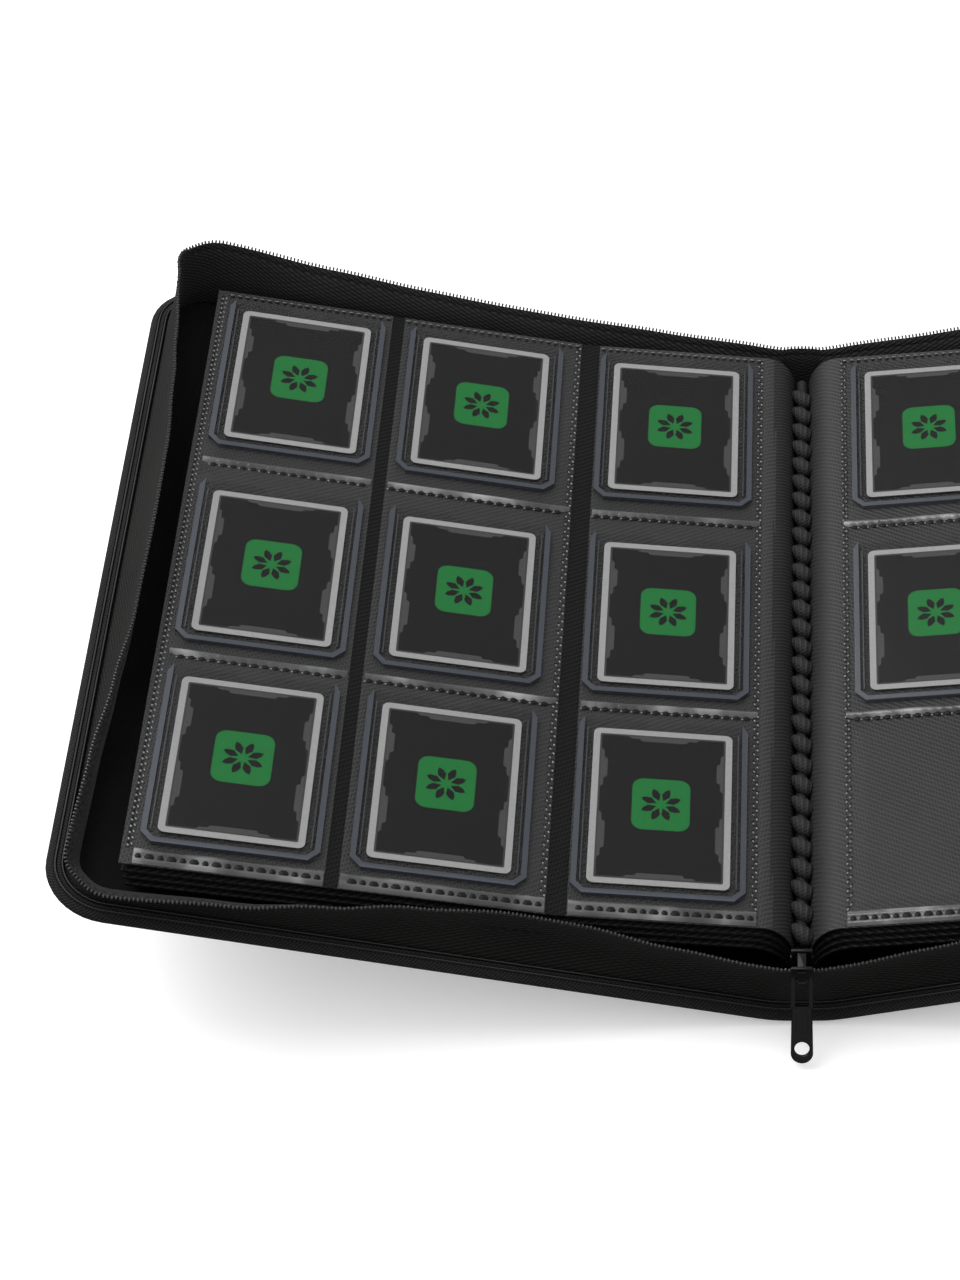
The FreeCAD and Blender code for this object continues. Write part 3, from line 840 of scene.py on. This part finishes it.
def upright_welds(welds, side, pages):
    """The weld of each column: a rope of slanting dashes, with a fine row beside the outer one."""
    turn = radians(62)
    for x, pitch, lean in ((286.9, 3.4, 0.0), (112.4, 2.5, 0.75), (20.8, 2.5, 0.75)):
        y = -pages.bottom + 9.5
        while y < pages.top - 3:
            lean = -lean
            # beads with the light weld finish are painted highlights, glints beside the dark pits
            dash(welds, side, x + lean, y, 0.1, (1.5, 1.0, 0.9), turn)
            dash(welds, side, x + lean + 0.2, y + pitch / 2, 0.0, (1.6, 1.2, 0.6), turn, 1)
            if not lean:
                dash(welds, side, x - 1.5, y + 0.9, 0.0, (1.5, 0.8, 0.6), turn)
            y += pitch


def level_weld(welds, side, low, high, row):
    """A puffed ridge with a scalloped lower side, and a row of pits under it."""
    pitch = 4.6
    xs = spread(low + 0.8, high - 0.8, 1.15)
    dips = [1.3 * abs(cos(pi * x / pitch)) for x in xs]
    rows, uv = [], []
    for off, share, up in ((2.9, 0, 0.05), (2.2, 0, 0.6), (1.5, 0, 0.95), (0.9, 0, 0.9),
                           (0.35, 0.7, 0.6), (-0.1, 1, 0.0)):
        rows.append([on_page(side, x, row + off - share * dip, WELD_LIFT + up)
                     for x, dip in zip(xs, dips)])
        uv.append([(x, off - share * dip) for x, dip in zip(xs, dips)])
    # the ridge carries the painted highlight finish
    welds.patch(rows, 2, uv)
    x = (int(low / pitch) + 1) * pitch + pitch / 2
    while x < high - 2.0:
        dash(welds, side, x, row - 1.7, 0.1, (3.0, 2.1, 0.6), mark=1)
        # a small light bead beside each pit: a painted highlight
        dash(welds, side, x + 1.9, row - 2.3, 0.1, (1.0, 1.0, 0.8))
        x += pitch


def front_hem(welds, side, low, high, front):
    """A pressed ridge along the front edge, with oval pits, long and short by turns."""
    xs = spread(low + 0.4, high - 0.4, 2.2)
    profile = ((8.6, 0.1), (7.6, 0.7), (6.3, 1.15), (5.5, 1.1), (4.9, 0.55), (3.2, 0.5),
               (2.6, 1.05), (1.9, 1.2), (1.0, 0.8), (0.4, 0.0))
    # the ridge carries the painted highlight finish
    welds.patch([[on_page(side, x, front + off, WELD_LIFT + up - 0.1) for x in xs]
                 for off, up in profile], 2, [[(x, off) for x in xs] for off, _ in profile])
    x, size, other = low + 3.0, (2.7, 2.8, 1.1), (4.0, 3.3, 1.1)
    while x < high - 2.0:
        dash(welds, side, x, front + 4.05, 0.6, size, mark=1)
        size, other = other, size
        x += 4.65


def weld_lines(side, name, body, pages):
    """The pressed lines that hold the films to the sheet."""
    welds = Skin()
    upright_welds(welds, side, pages)
    for row in WELD_ROWS:
        for low, high in POCKETS:
            level_weld(welds, side, low, high, row)
    for low, high in POCKETS:
        front_hem(welds, side, low, high, -pages.bottom)
    for low, high in POCKETS:
        for x in spread(low + 2, high - 2, 3.6):
            dash(welds, side, x, pages.top - 3.6, 0.35, (2.2, 0.9, 0.6), mark=1)
            # the light bead beside each pit is a painted highlight
            dash(welds, side, x + 0.3, pages.top - 2.6, 0.3, (2.2, 0.7, 0.6))
    lines = welds.build(name + "_weld_lines", finishes("weld", "weld pit", "hem gloss"),
                        outward=False)
    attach(lines, body)


def sleeve_place(side, column, row):
    """Placement of a sleeve's middle, its own X outwards from the spine on either side."""
    outer, slope = COLUMNS[column][2], COLUMNS[column][3]
    middle = outer - 38.5 * cos(slope)
    place = Matrix.Translation((side * middle, ROWS[row], page_z(middle)))
    return place @ Matrix.Rotation(-side * slope, 4, "Y")


def placed(place, outline, z):
    """An outline's points at one height of a placement."""
    return [tuple(place @ Vector((x, y, z))) for x, y in outline]


def extrude_outline(skin, place, outline, low, high, mark):
    """A closed outline raised between two heights, with its top, bottom and wall."""
    top, bottom = placed(place, outline, high), placed(place, outline, low)
    skin.face(top, mark)
    skin.face(bottom[::-1], mark)
    for i in range(len(outline)):
        j = (i + 1) % len(outline)
        skin.face([bottom[i], bottom[j], top[j], top[i]], mark)


def band_strip(skin, place, outer, inner, low, high, mark, closed):
    """A band between two matching outlines, raised between two heights."""
    count = len(outer)
    for i in range(count if closed else count - 1):
        j = (i + 1) % count
        ring = [outer[i], outer[j], inner[j], inner[i]]
        up, down = placed(place, ring, high), placed(place, ring, low)
        skin.face(up, mark)
        skin.face(down[::-1], mark)
        skin.face([down[0], down[1], up[1], up[0]], mark)
        skin.face([down[2], down[3], up[3], up[2]], mark)
        if not closed and i in (0, count - 2):
            pair = (3, 0) if i == 0 else (1, 2)
            skin.face([down[pair[0]], down[pair[1]], up[pair[1]], up[pair[0]]], mark)


def sleeve(skin, place):
    """One rigid sleeve: clear faces, a welded band on three sides, a card slot."""
    w, low, high = 38.4, -50.4, 50.1
    band, ch = 2.5, 5.0
    t = 0.95
    outer = [(-w, high - 4.6), (-w, low + ch), (-w + ch, low), (w - ch, low), (w, low + ch),
             (w, high - 4.6)]
    inner = [(-w + band, high), (-w + band, low + ch + 1.0), (-w + ch + 1.0, low + band),
             (w - ch - 1.0, low + band), (w - band, low + ch + 1.0), (w - band, high)]
    band_strip(skin, place, outer, inner, -t, t, 0, False)
    mouth = [(w - band, high), (9.0, high), (6.5, high - 3.0), (-6.5, high - 3.0), (-9.0, high),
             (-w + band, high)]
    for z in (-t + 0.2, t - 0.2):
        skin.face(placed(place, inner[1:5] + mouth, z), 1)
    for x in (-34.3, 34.3):
        extrude_outline(skin, place, [(x - 0.25, -43.5), (x + 0.25, -43.5), (x + 0.25, 44.2),
                                      (x - 0.25, 44.2)], -0.3, 0.62, 2)


def rounded(w, h, r, steps=5):
    """Outline of a rounded rectangle."""
    out = []
    for cx, cy, a0 in ((w - r, h - r, 0), (-w + r, h - r, 90), (-w + r, -h + r, 180),
                       (w - r, -h + r, 270)):
        for i in range(steps + 1):
            a = radians(a0 + 90.0 * i / steps)
            out.append((cx + r * cos(a), cy + r * sin(a)))
    return out


def card(skin, place):
    """One printed card: pale border, fine rule, dark field, stepped strips and a plain emblem."""
    w, h = 31.5, 44.0
    top = 0.16
    extrude_outline(skin, place, rounded(w, h, 3.0), -0.16, top - 0.03, 0)
    band_strip(skin, place, rounded(w, h, 3.0), rounded(w - 3.0, h - 3.0, 0.9), top - 0.03, top,
               0, True)
    band_strip(skin, place, rounded(w - 3.0, h - 3.0, 0.9), rounded(w - 3.9, h - 3.9, 0.5),
               top - 0.03, top, 1, True)
    extrude_outline(skin, place, rounded(w - 3.9, h - 3.9, 0.5), top - 0.03, top - 0.005, 2)
    ix, iy = w - 3.9, h - 3.9

    def strip(along, start, length, deep, side):
        """A stepped strip that hugs one edge of the field."""
        pts = [(start, 0), (start + 1.2, deep * 0.45), (start + 5.0, deep * 0.45),
               (start + 6.0, deep), (start + length - 6.0, deep),
               (start + length - 5.0, deep * 0.45), (start + length - 1.2, deep * 0.45),
               (start + length, 0)]
        if along == "y":
            pts = [(side * (ix - d), iy - a) for a, d in pts]
        else:
            pts = [(-ix + a, side * (iy - d)) for a, d in pts]
        extrude_outline(skin, place, pts, top - 0.02, top + 0.01, 3)
    for side in (-1, 1):
        strip("y", 8.0, 22.0, 3.0, side)
        strip("y", 44.0, 26.0, 3.0, side)
        strip("x", 12.0, 32.0, 2.6, side)
    # emblem: a rounded tile with a ring of dark petals
    middle = place @ Matrix.Translation((0, 1.5, 0))
    extrude_outline(skin, middle, rounded(13.0, 14.5, 5.0, 6), top - 0.02, top + 0.012, 4)
    for i in range(8):
        turn = middle @ Matrix.Rotation(radians(45 * i + 22.5), 4, "Z")
        petal = [(0, 2.2), (1.9, 5.4), (1.3, 8.0), (0, 9.6), (-1.3, 8.0), (-1.9, 5.4)]
        extrude_outline(skin, turn, petal, top, top + 0.03, 2)


CARD_FINISHES = ("card edge", "card rule", "card field", "card strip", "card emblem")
SLEEVE_FINISHES = ("sleeve band", "sleeve face", "slot line")


# ---- operators -------------------------------------------------------------------------------

class BINDER_OT_case(bpy.types.Operator):
    """Build the padded outer skin of both halves of the case"""
    bl_idname = "binder.case"
    bl_label = "Outer skin"

    def execute(self, context):
        edge = Edge(context.scene.binder_case)
        for side, name in HALVES:
            case_half(side, name, edge)
        return {"FINISHED"}


class BINDER_OT_lining(bpy.types.Operator):
    """Build the padded lining of both halves"""
    bl_idname = "binder.lining"
    bl_label = "Lining"

    def execute(self, context):
        edge = Edge(context.scene.binder_case)
        for side, name in HALVES:
            lining_half(side, name, edge)
        return {"FINISHED"}


class BINDER_OT_gussets(bpy.types.Operator):
    """Build the cloth walls that carry the zip"""
    bl_idname = "binder.gussets"
    bl_label = "Gusset walls"

    def execute(self, context):
        edge = Edge(context.scene.binder_case)
        for side, name in HALVES:
            gusset_half(side, name, edge)
        return {"FINISHED"}


class BINDER_OT_teeth(bpy.types.Operator):
    """Build the zip's teeth on both halves"""
    bl_idname = "binder.teeth"
    bl_label = "Zip teeth"

    def execute(self, context):
        case = context.scene.binder_case
        edge = Edge(case)
        for side, name in HALVES:
            teeth_half(side, name, edge, case.tooth_pitch)
        return {"FINISHED"}


def soft_block(skin, low, high, r, mark=0, wide=1.0):
    """A block with rounded upright corners and eased top and bottom edges. wide scales its top."""
    cx, cy = (low[0] + high[0]) / 2, (low[1] + high[1]) / 2
    hx, hy = (high[0] - low[0]) / 2, (high[1] - low[1]) / 2
    e = min(r * 0.6, (high[2] - low[2]) / 3)
    rows = []
    for z, inset in ((low[2], e), (low[2] + e * 0.3, e * 0.3), (low[2] + e, 0.0),
                     (high[2] - e, 0.0), (high[2] - e * 0.3, e * 0.3), (high[2], e)):
        k = 1 + (wide - 1) * (z - low[2]) / (high[2] - low[2])
        ring = rounded((hx - inset) * k, hy - inset, max(r - inset, 0.05), 4)
        rows.append([(cx + x, cy + y, z) for x, y in ring + ring[:1]])
    skin.patch(rows, mark)
    skin.face(rows[-1][:-1], mark)
    skin.face(rows[0][:-1][::-1], mark)


class BINDER_OT_slider(bpy.types.Operator):
    """Build the zip's slider: two shields, their post, and the bridge the puller hangs from"""
    bl_idname = "binder.slider"
    bl_label = "Slider"

    def execute(self, context):
        low, high = (Vector(c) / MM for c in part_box("zip_slider"))
        skin = Skin()
        top, foot = high.z, low.z
        soft_block(skin, (-5.2, low.y + 1.6, foot), (5.2, low.y + 3.4, top), 0.8, wide=0.92)
        soft_block(skin, (-5.2, high.y - 1.7, foot), (5.2, high.y, top), 0.8, wide=0.92)
        soft_block(skin, (-1.9, low.y + 2.6, top - 3.2), (1.9, high.y - 0.6, top - 0.7), 0.6)
        for x in (-4.5, 4.5):
            for front, rear in ((low.y + 2.6, low.y + 4.4), (high.y - 2.7, high.y - 0.9)):
                soft_block(skin, (x - 0.55, front, foot + 0.6), (x + 0.55, rear, top - 3.0), 0.4)
        # the bridge: a strap that stands off the front shield
        path = [(low.y + 2.2, top - 1.0), (low.y + 0.9, top - 0.8), (low.y + 0.15, top - 2.0),
                (low.y + 0.0, foot + 4.4), (low.y + 0.1, foot + 1.2), (low.y + 0.9, foot + 0.25),
                (low.y + 2.2, foot + 0.4)]
        inner = [(low.y + 2.2, top - 2.2), (low.y + 1.4, top - 2.2), (low.y + 1.0, top - 2.9),
                 (low.y + 0.85, foot + 4.4), (low.y + 0.95, foot + 2.0), (low.y + 1.5, foot + 1.4),
                 (low.y + 2.2, foot + 1.4)]
        half = 1.7
        rows = []
        for (y0, z0), (y1, z1) in zip(path, inner):
            rows.append([(-half, y0, z0), (half, y0, z0), (half, y1, z1), (-half, y1, z1),
                         (-half, y0, z0)])
        skin.patch(rows)
        obj = skin.build("slider_body", finishes("hardware"), 0.005, angle=40)
        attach(obj, "zip_slider")
        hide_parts("zip_slider")
        return {"FINISHED"}


class BINDER_OT_puller(bpy.types.Operator):
    """Build the puller: a forked head round a crossbar, and a rounded tab with a hole"""
    bl_idname = "binder.puller"
    bl_label = "Puller"

    def execute(self, context):
        pivot = Vector(PULLER_PIVOT)
        along = Vector((0, -sin(PULLER_LEAN), -cos(PULLER_LEAN)))
        face = Vector((0, -cos(PULLER_LEAN), sin(PULLER_LEAN)))
        place = Matrix((Vector((1, 0, 0)), along, face)).transposed().to_4x4()
        place.translation = pivot
        skin = Skin()
        half, thick, long = 4.9, 1.0, 40.8

        def outline(grow, hole):
            """Outer loop and hole loop with matching counts, head end first."""
            outer, inner = [], []
            h = half - grow
            tip = long - h - grow
            for i in range(25):
                a = pi * i / 24
                outer.append((h * cos(a), tip + (h + 0.0) * sin(a)))
                inner.append((hole * cos(a), long - 7.0 + hole * sin(a)))
            for i in range(1, 24):
                a = pi + pi * i / 24
                t = i / 24.0
                outer.append((-h + 2 * h * t, 13.2 + grow * 0.5))
                inner.append((hole * cos(a), long - 7.0 + hole * sin(a)))
            return outer, inner
        rows = []
        for z, grow, hole in ((-thick, 0.5, 3.7), (-thick + 0.5, 0.0, 3.3),
                              (thick - 0.5, 0.0, 3.3), (thick, 0.5, 3.7)):
            outer, inner = outline(grow, hole)
            rows.append(([tuple(place @ Vector((x, y, z))) for x, y in outer + outer[:1]],
                         [tuple(place @ Vector((x, y, z))) for x, y in inner + inner[:1]]))
        skin.patch([r[0] for r in rows])
        skin.patch([r[1] for r in rows], flip=True)
        skin.patch([rows[-1][0], rows[-1][1]])
        skin.patch([rows[0][0], rows[0][1]], flip=True)
        # fork: two arms from the tab to the crossbar
        for sx in (-1, 1):
            arm = [(sx * 4.9, 14.2), (sx * 4.9, 2.0), (sx * 4.2, -0.6), (sx * 3.3, -1.2),
                   (sx * 2.9, -0.4), (sx * 3.0, 12.4), (sx * 2.2, 14.2)]
            if sx > 0:
                arm = arm[::-1]
            extrude_outline(skin, place, arm, -thick, thick, 0)
        ring = [(cos(2 * pi * j / 12), sin(2 * pi * j / 12)) for j in range(13)]
        skin.patch([[tuple(place @ Vector((x, 0.75 * c, 0.75 * q))) for c, q in ring]
                    for x in (-4.0, 4.0)])
        # panel: a shallow raised plate on the tab
        panel = rounded(2.6, 5.2, 1.0, 4)
        extrude_outline(skin, place @ Matrix.Translation((0, 20.5, 0)), panel, thick - 0.1,
                        thick + 0.25, 0)
        obj = skin.build("puller_tab", finishes("hardware"), 0.005, angle=35)
        bevel = obj.modifiers.new("Eased edges", "BEVEL")
        bevel.width, bevel.segments, bevel.limit_method = 0.0002, 2, "ANGLE"
        bevel.angle_limit = radians(50)
        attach(obj, "zip_puller")
        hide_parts("zip_puller")
        return {"FINISHED"}


class BINDER_OT_binding(bpy.types.Operator):
    """Build the plaited binding strip in the gutter"""
    bl_idname = "binder.binding"
    bl_label = "Binding"

    def execute(self, context):
        pages = context.scene.binder_pages
        skin = Skin()
        low, high, pitch = -pages.bottom + 6, pages.top - 6, 12.0
        count = int((high - low) / pitch)
        for i in range(count + 1):
            place = (Matrix.Translation((0, low + i * pitch, 34.4)) @
                     Matrix.Rotation(radians(-128), 4, "Z") @
                     Matrix.Rotation(radians(-14), 4, "X"))
            lump(skin, place, (8.8, 12.6, 7.4), 0.75)
        core = [(0.9 * cos(a), 0.9 * sin(a)) for a in [2 * pi * j / 10 for j in range(10)]]
        skin.patch([[(3.4 * x, y, 30.0 + 4.5 * z) for x, z in core + core[:1]]
                    for y in spread(low - 3, high + 3, 12)], 0)
        skin.patch([[(x, y, z) for x, z in ((-0.7, 6.6), (-0.7, 25), (0.7, 25), (0.7, 6.6))]
                    for y in (low, high)], 1)
        cord = skin.build("binding_plait", finishes("binding weave", "lining"))
        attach(cord, "spine")
        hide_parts("binding_cord")
        return {"FINISHED"}


def lump(skin, place, size, skew):
    """One soft teardrop of the plait, in mm: fat at its far end, drawn out at the near one."""
    rows, uv = [], []
    for i in range(13):
        t = i / 12.0
        a = pi * t
        r = sin(a) ** 0.85 * (1.0 + skew * 0.35 * cos(a + pi) - 0.12 * skew)
        y = -cos(a) * size[1] / 2
        row, tex = [], []
        for j in range(17):
            b = 2 * pi * j / 16
            p = place @ Vector((r * cos(b) * size[0] / 2, y, r * sin(b) * size[2] / 2))
            row.append(tuple(p))
            tex.append((j * 1.25 + place.translation.y * 0.37, t * 12.0))
        rows.append(row)
        uv.append(tex)
    skin.patch(rows, 0, uv)


class BINDER_OT_leaves(bpy.types.Operator):
    """Build the leaves on both sides and the strips that join them to the binding"""
    bl_idname = "binder.leaves"
    bl_label = "Leaves"

    def execute(self, context):
        pages = context.scene.binder_pages
        for side, name in HALVES:
            top_sheet(side, name, pages)
            for k in range(2, 5):
                lower_leaf(side, name, k, pages)
        return {"FINISHED"}


class BINDER_OT_films(bpy.types.Operator):
    """Build the clear pocket fronts and their weld lines"""
    bl_idname = "binder.films"
    bl_label = "Pocket films"

    def execute(self, context):
        pages = context.scene.binder_pages
        for (side, name), body in zip(HALVES, ("left_top_leaf", "right_pages")):
            pocket_films(side, name, body, pages)
            weld_lines(side, name, body, pages)
        return {"FINISHED"}


class BINDER_OT_sleeves(bpy.types.Operator):
    """Build the rigid sleeves in the pockets"""
    bl_idname = "binder.sleeves"
    bl_label = "Rigid sleeves"

    def execute(self, context):
        plastics = finishes(*SLEEVE_FINISHES)
        for row in range(3):
            for column in range(3):
                skin = Skin()
                sleeve(skin, sleeve_place(-1, column, row))
                obj = skin.build("left_sleeve_%d_%d" % (row + 1, column + 1), plastics,
                                 smooth=False)
                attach(obj, "left_top_leaf")
                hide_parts("left_toploader_%d_%d" % (row + 1, column + 1))
        for row in range(context.scene.binder_pages.right_rows):
            skin = Skin()
            for column in range(3):
                sleeve(skin, sleeve_place(1, column, row))
            obj = skin.build("right_sleeves_%d" % (row + 1), plastics, smooth=False)
            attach(obj, "right_pages")
            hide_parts("right_toploaders_row_%d" % (row + 1))
        return {"FINISHED"}


class BINDER_OT_cards(bpy.types.Operator):
    """Build the printed cards in the sleeves"""
    bl_idname = "binder.cards"
    bl_label = "Cards"

    def execute(self, context):
        inks = finishes(*CARD_FINISHES)
        for column in range(3):
            skin = Skin()
            for row in range(3):
                card(skin, sleeve_place(-1, column, row))
            obj = skin.build("left_cards_%d" % (column + 1), inks, smooth=False)
            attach(obj, "left_top_leaf")
            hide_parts("left_cards_column_%d" % (column + 1))
        skin = Skin()
        for row in range(context.scene.binder_pages.right_rows):
            for column in range(3):
                card(skin, sleeve_place(1, column, row))
        obj = skin.build("right_cards_set", inks, smooth=False)
        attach(obj, "right_pages")
        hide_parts("right_cards")
        return {"FINISHED"}


FLOOR_REACH = 40000.0


class BINDER_OT_stage(bpy.types.Operator):
    """Lay the floor, hang the lights and place the camera"""
    bl_idname = "binder.stage"
    bl_label = "Stage"

    def execute(self, context):
        stage = context.scene.binder_stage
        skin = Skin()
        skin.patch([[(x, y, -0.4) for x in (-FLOOR_REACH, FLOOR_REACH)]
                    for y in (-FLOOR_REACH, FLOOR_REACH)])
        floor = skin.build("floor", [Finish("floor paint", Base_Color=stage.floor,
                                            Emission_Color=(1.0, 1.0, 1.0), Emission_Strength=0.25,
                                            Roughness=0.9, Specular_IOR_Level=0.1).material],
                           smooth=False)
        floor.visible_diffuse = False
        floor.visible_glossy = False
        world = bpy.data.worlds.new("soft white room")
        context.scene.world = world
        world.use_nodes = True
        tree = world.node_tree
        tree.nodes["Background"].inputs[1].default_value = stage.sky
        way = tree.nodes.new("ShaderNodeTexCoord")
        height = tree.nodes.new("ShaderNodeSeparateXYZ")
        raised = tree.nodes.new("ShaderNodeMath")
        raised.inputs[1].default_value = 0.08
        ramp = tree.nodes.new("ShaderNodeValToRGB")
        tree.links.new(way.outputs["Generated"], height.inputs[0])
        tree.links.new(height.outputs["Z"], raised.inputs[0])
        tree.links.new(raised.outputs[0], ramp.inputs[0])
        tree.links.new(ramp.outputs[0], tree.nodes["Background"].inputs[0])
        ramp.color_ramp.elements[0].color = (0.22, 0.22, 0.22, 1)
        ramp.color_ramp.elements[1].color = (1, 1, 1, 1)
        ramp.color_ramp.elements[1].position = 0.05
        for name, spot, size, power, aim in (
                ("overhead", (-1.1, 0.75, 1.9), 2.2, stage.soft_key, (0, 0, 0)),
                ("left fill", (-2.0, 0.3, 0.9), 1.2, stage.soft_key * 0.16, (-0.2, 0, 0.05))):
            lamp = bpy.data.lights.new(name, "AREA")
            lamp.shape, lamp.size, lamp.energy = "DISK", size, power
            obj = bpy.data.objects.new(name, lamp)
            obj.location = spot
            obj.rotation_euler = (Vector(aim) - Vector(spot)).to_track_quat("-Z", "Y").to_euler()
            context.scene.collection.objects.link(obj)
        camera = bpy.data.cameras.new("camera")
        camera.sensor_fit, camera.sensor_width = "AUTO", 36.0
        camera.lens, camera.shift_x = stage.lens, -0.2515
        camera.clip_start, camera.clip_end = 0.05, 50
        obj = bpy.data.objects.new("camera", camera)
        obj.location = (0.0, -1.0240, 1.1834)
        obj.rotation_euler = (radians(41.702), 0, 0)
        context.scene.collection.objects.link(obj)
        context.scene.camera = obj
        context.scene.view_settings.view_transform = "Standard"
        return {"FINISHED"}


class BINDER_PT_panel(bpy.types.Panel):
    """Lists the binder's pieces and settings"""
    bl_label = "Card Binder"
    bl_idname = "BINDER_PT_panel"
    bl_space_type = "VIEW_3D"
    bl_region_type = "UI"
    bl_category = "Card Binder"

    def draw(self, context):
        for group in (context.scene.binder_case, context.scene.binder_pages,
                      context.scene.binder_stage):
            box = self.layout.box()
            for key in group.bl_rna.properties.keys():
                if key not in ("rna_type", "name"):
                    box.prop(group, key)
        for operator in OPERATORS:
            self.layout.operator(operator.bl_idname)


OPERATORS = (BINDER_OT_stage, BINDER_OT_case, BINDER_OT_lining, BINDER_OT_gussets,
             BINDER_OT_teeth, BINDER_OT_slider, BINDER_OT_puller, BINDER_OT_binding,
             BINDER_OT_leaves, BINDER_OT_films, BINDER_OT_sleeves, BINDER_OT_cards)
CLASSES = (BinderCase, BinderPages, BinderStage) + OPERATORS + (BINDER_PT_panel,)


def register():
    for cls in CLASSES:
        bpy.utils.register_class(cls)
    bpy.types.Scene.binder_case = PointerProperty(type=BinderCase)
    bpy.types.Scene.binder_pages = PointerProperty(type=BinderPages)
    bpy.types.Scene.binder_stage = PointerProperty(type=BinderStage)


def unregister():
    del bpy.types.Scene.binder_stage
    del bpy.types.Scene.binder_pages
    del bpy.types.Scene.binder_case
    for cls in reversed(CLASSES):
        bpy.utils.unregister_class(cls)


def main():
    """Build every piece in order."""
    register()
    for operator in OPERATORS:
        group, name = operator.bl_idname.split(".")
        getattr(getattr(bpy.ops, group), name)()
    bpy.context.view_layer.update()


if __name__ == "__main__":
    main()
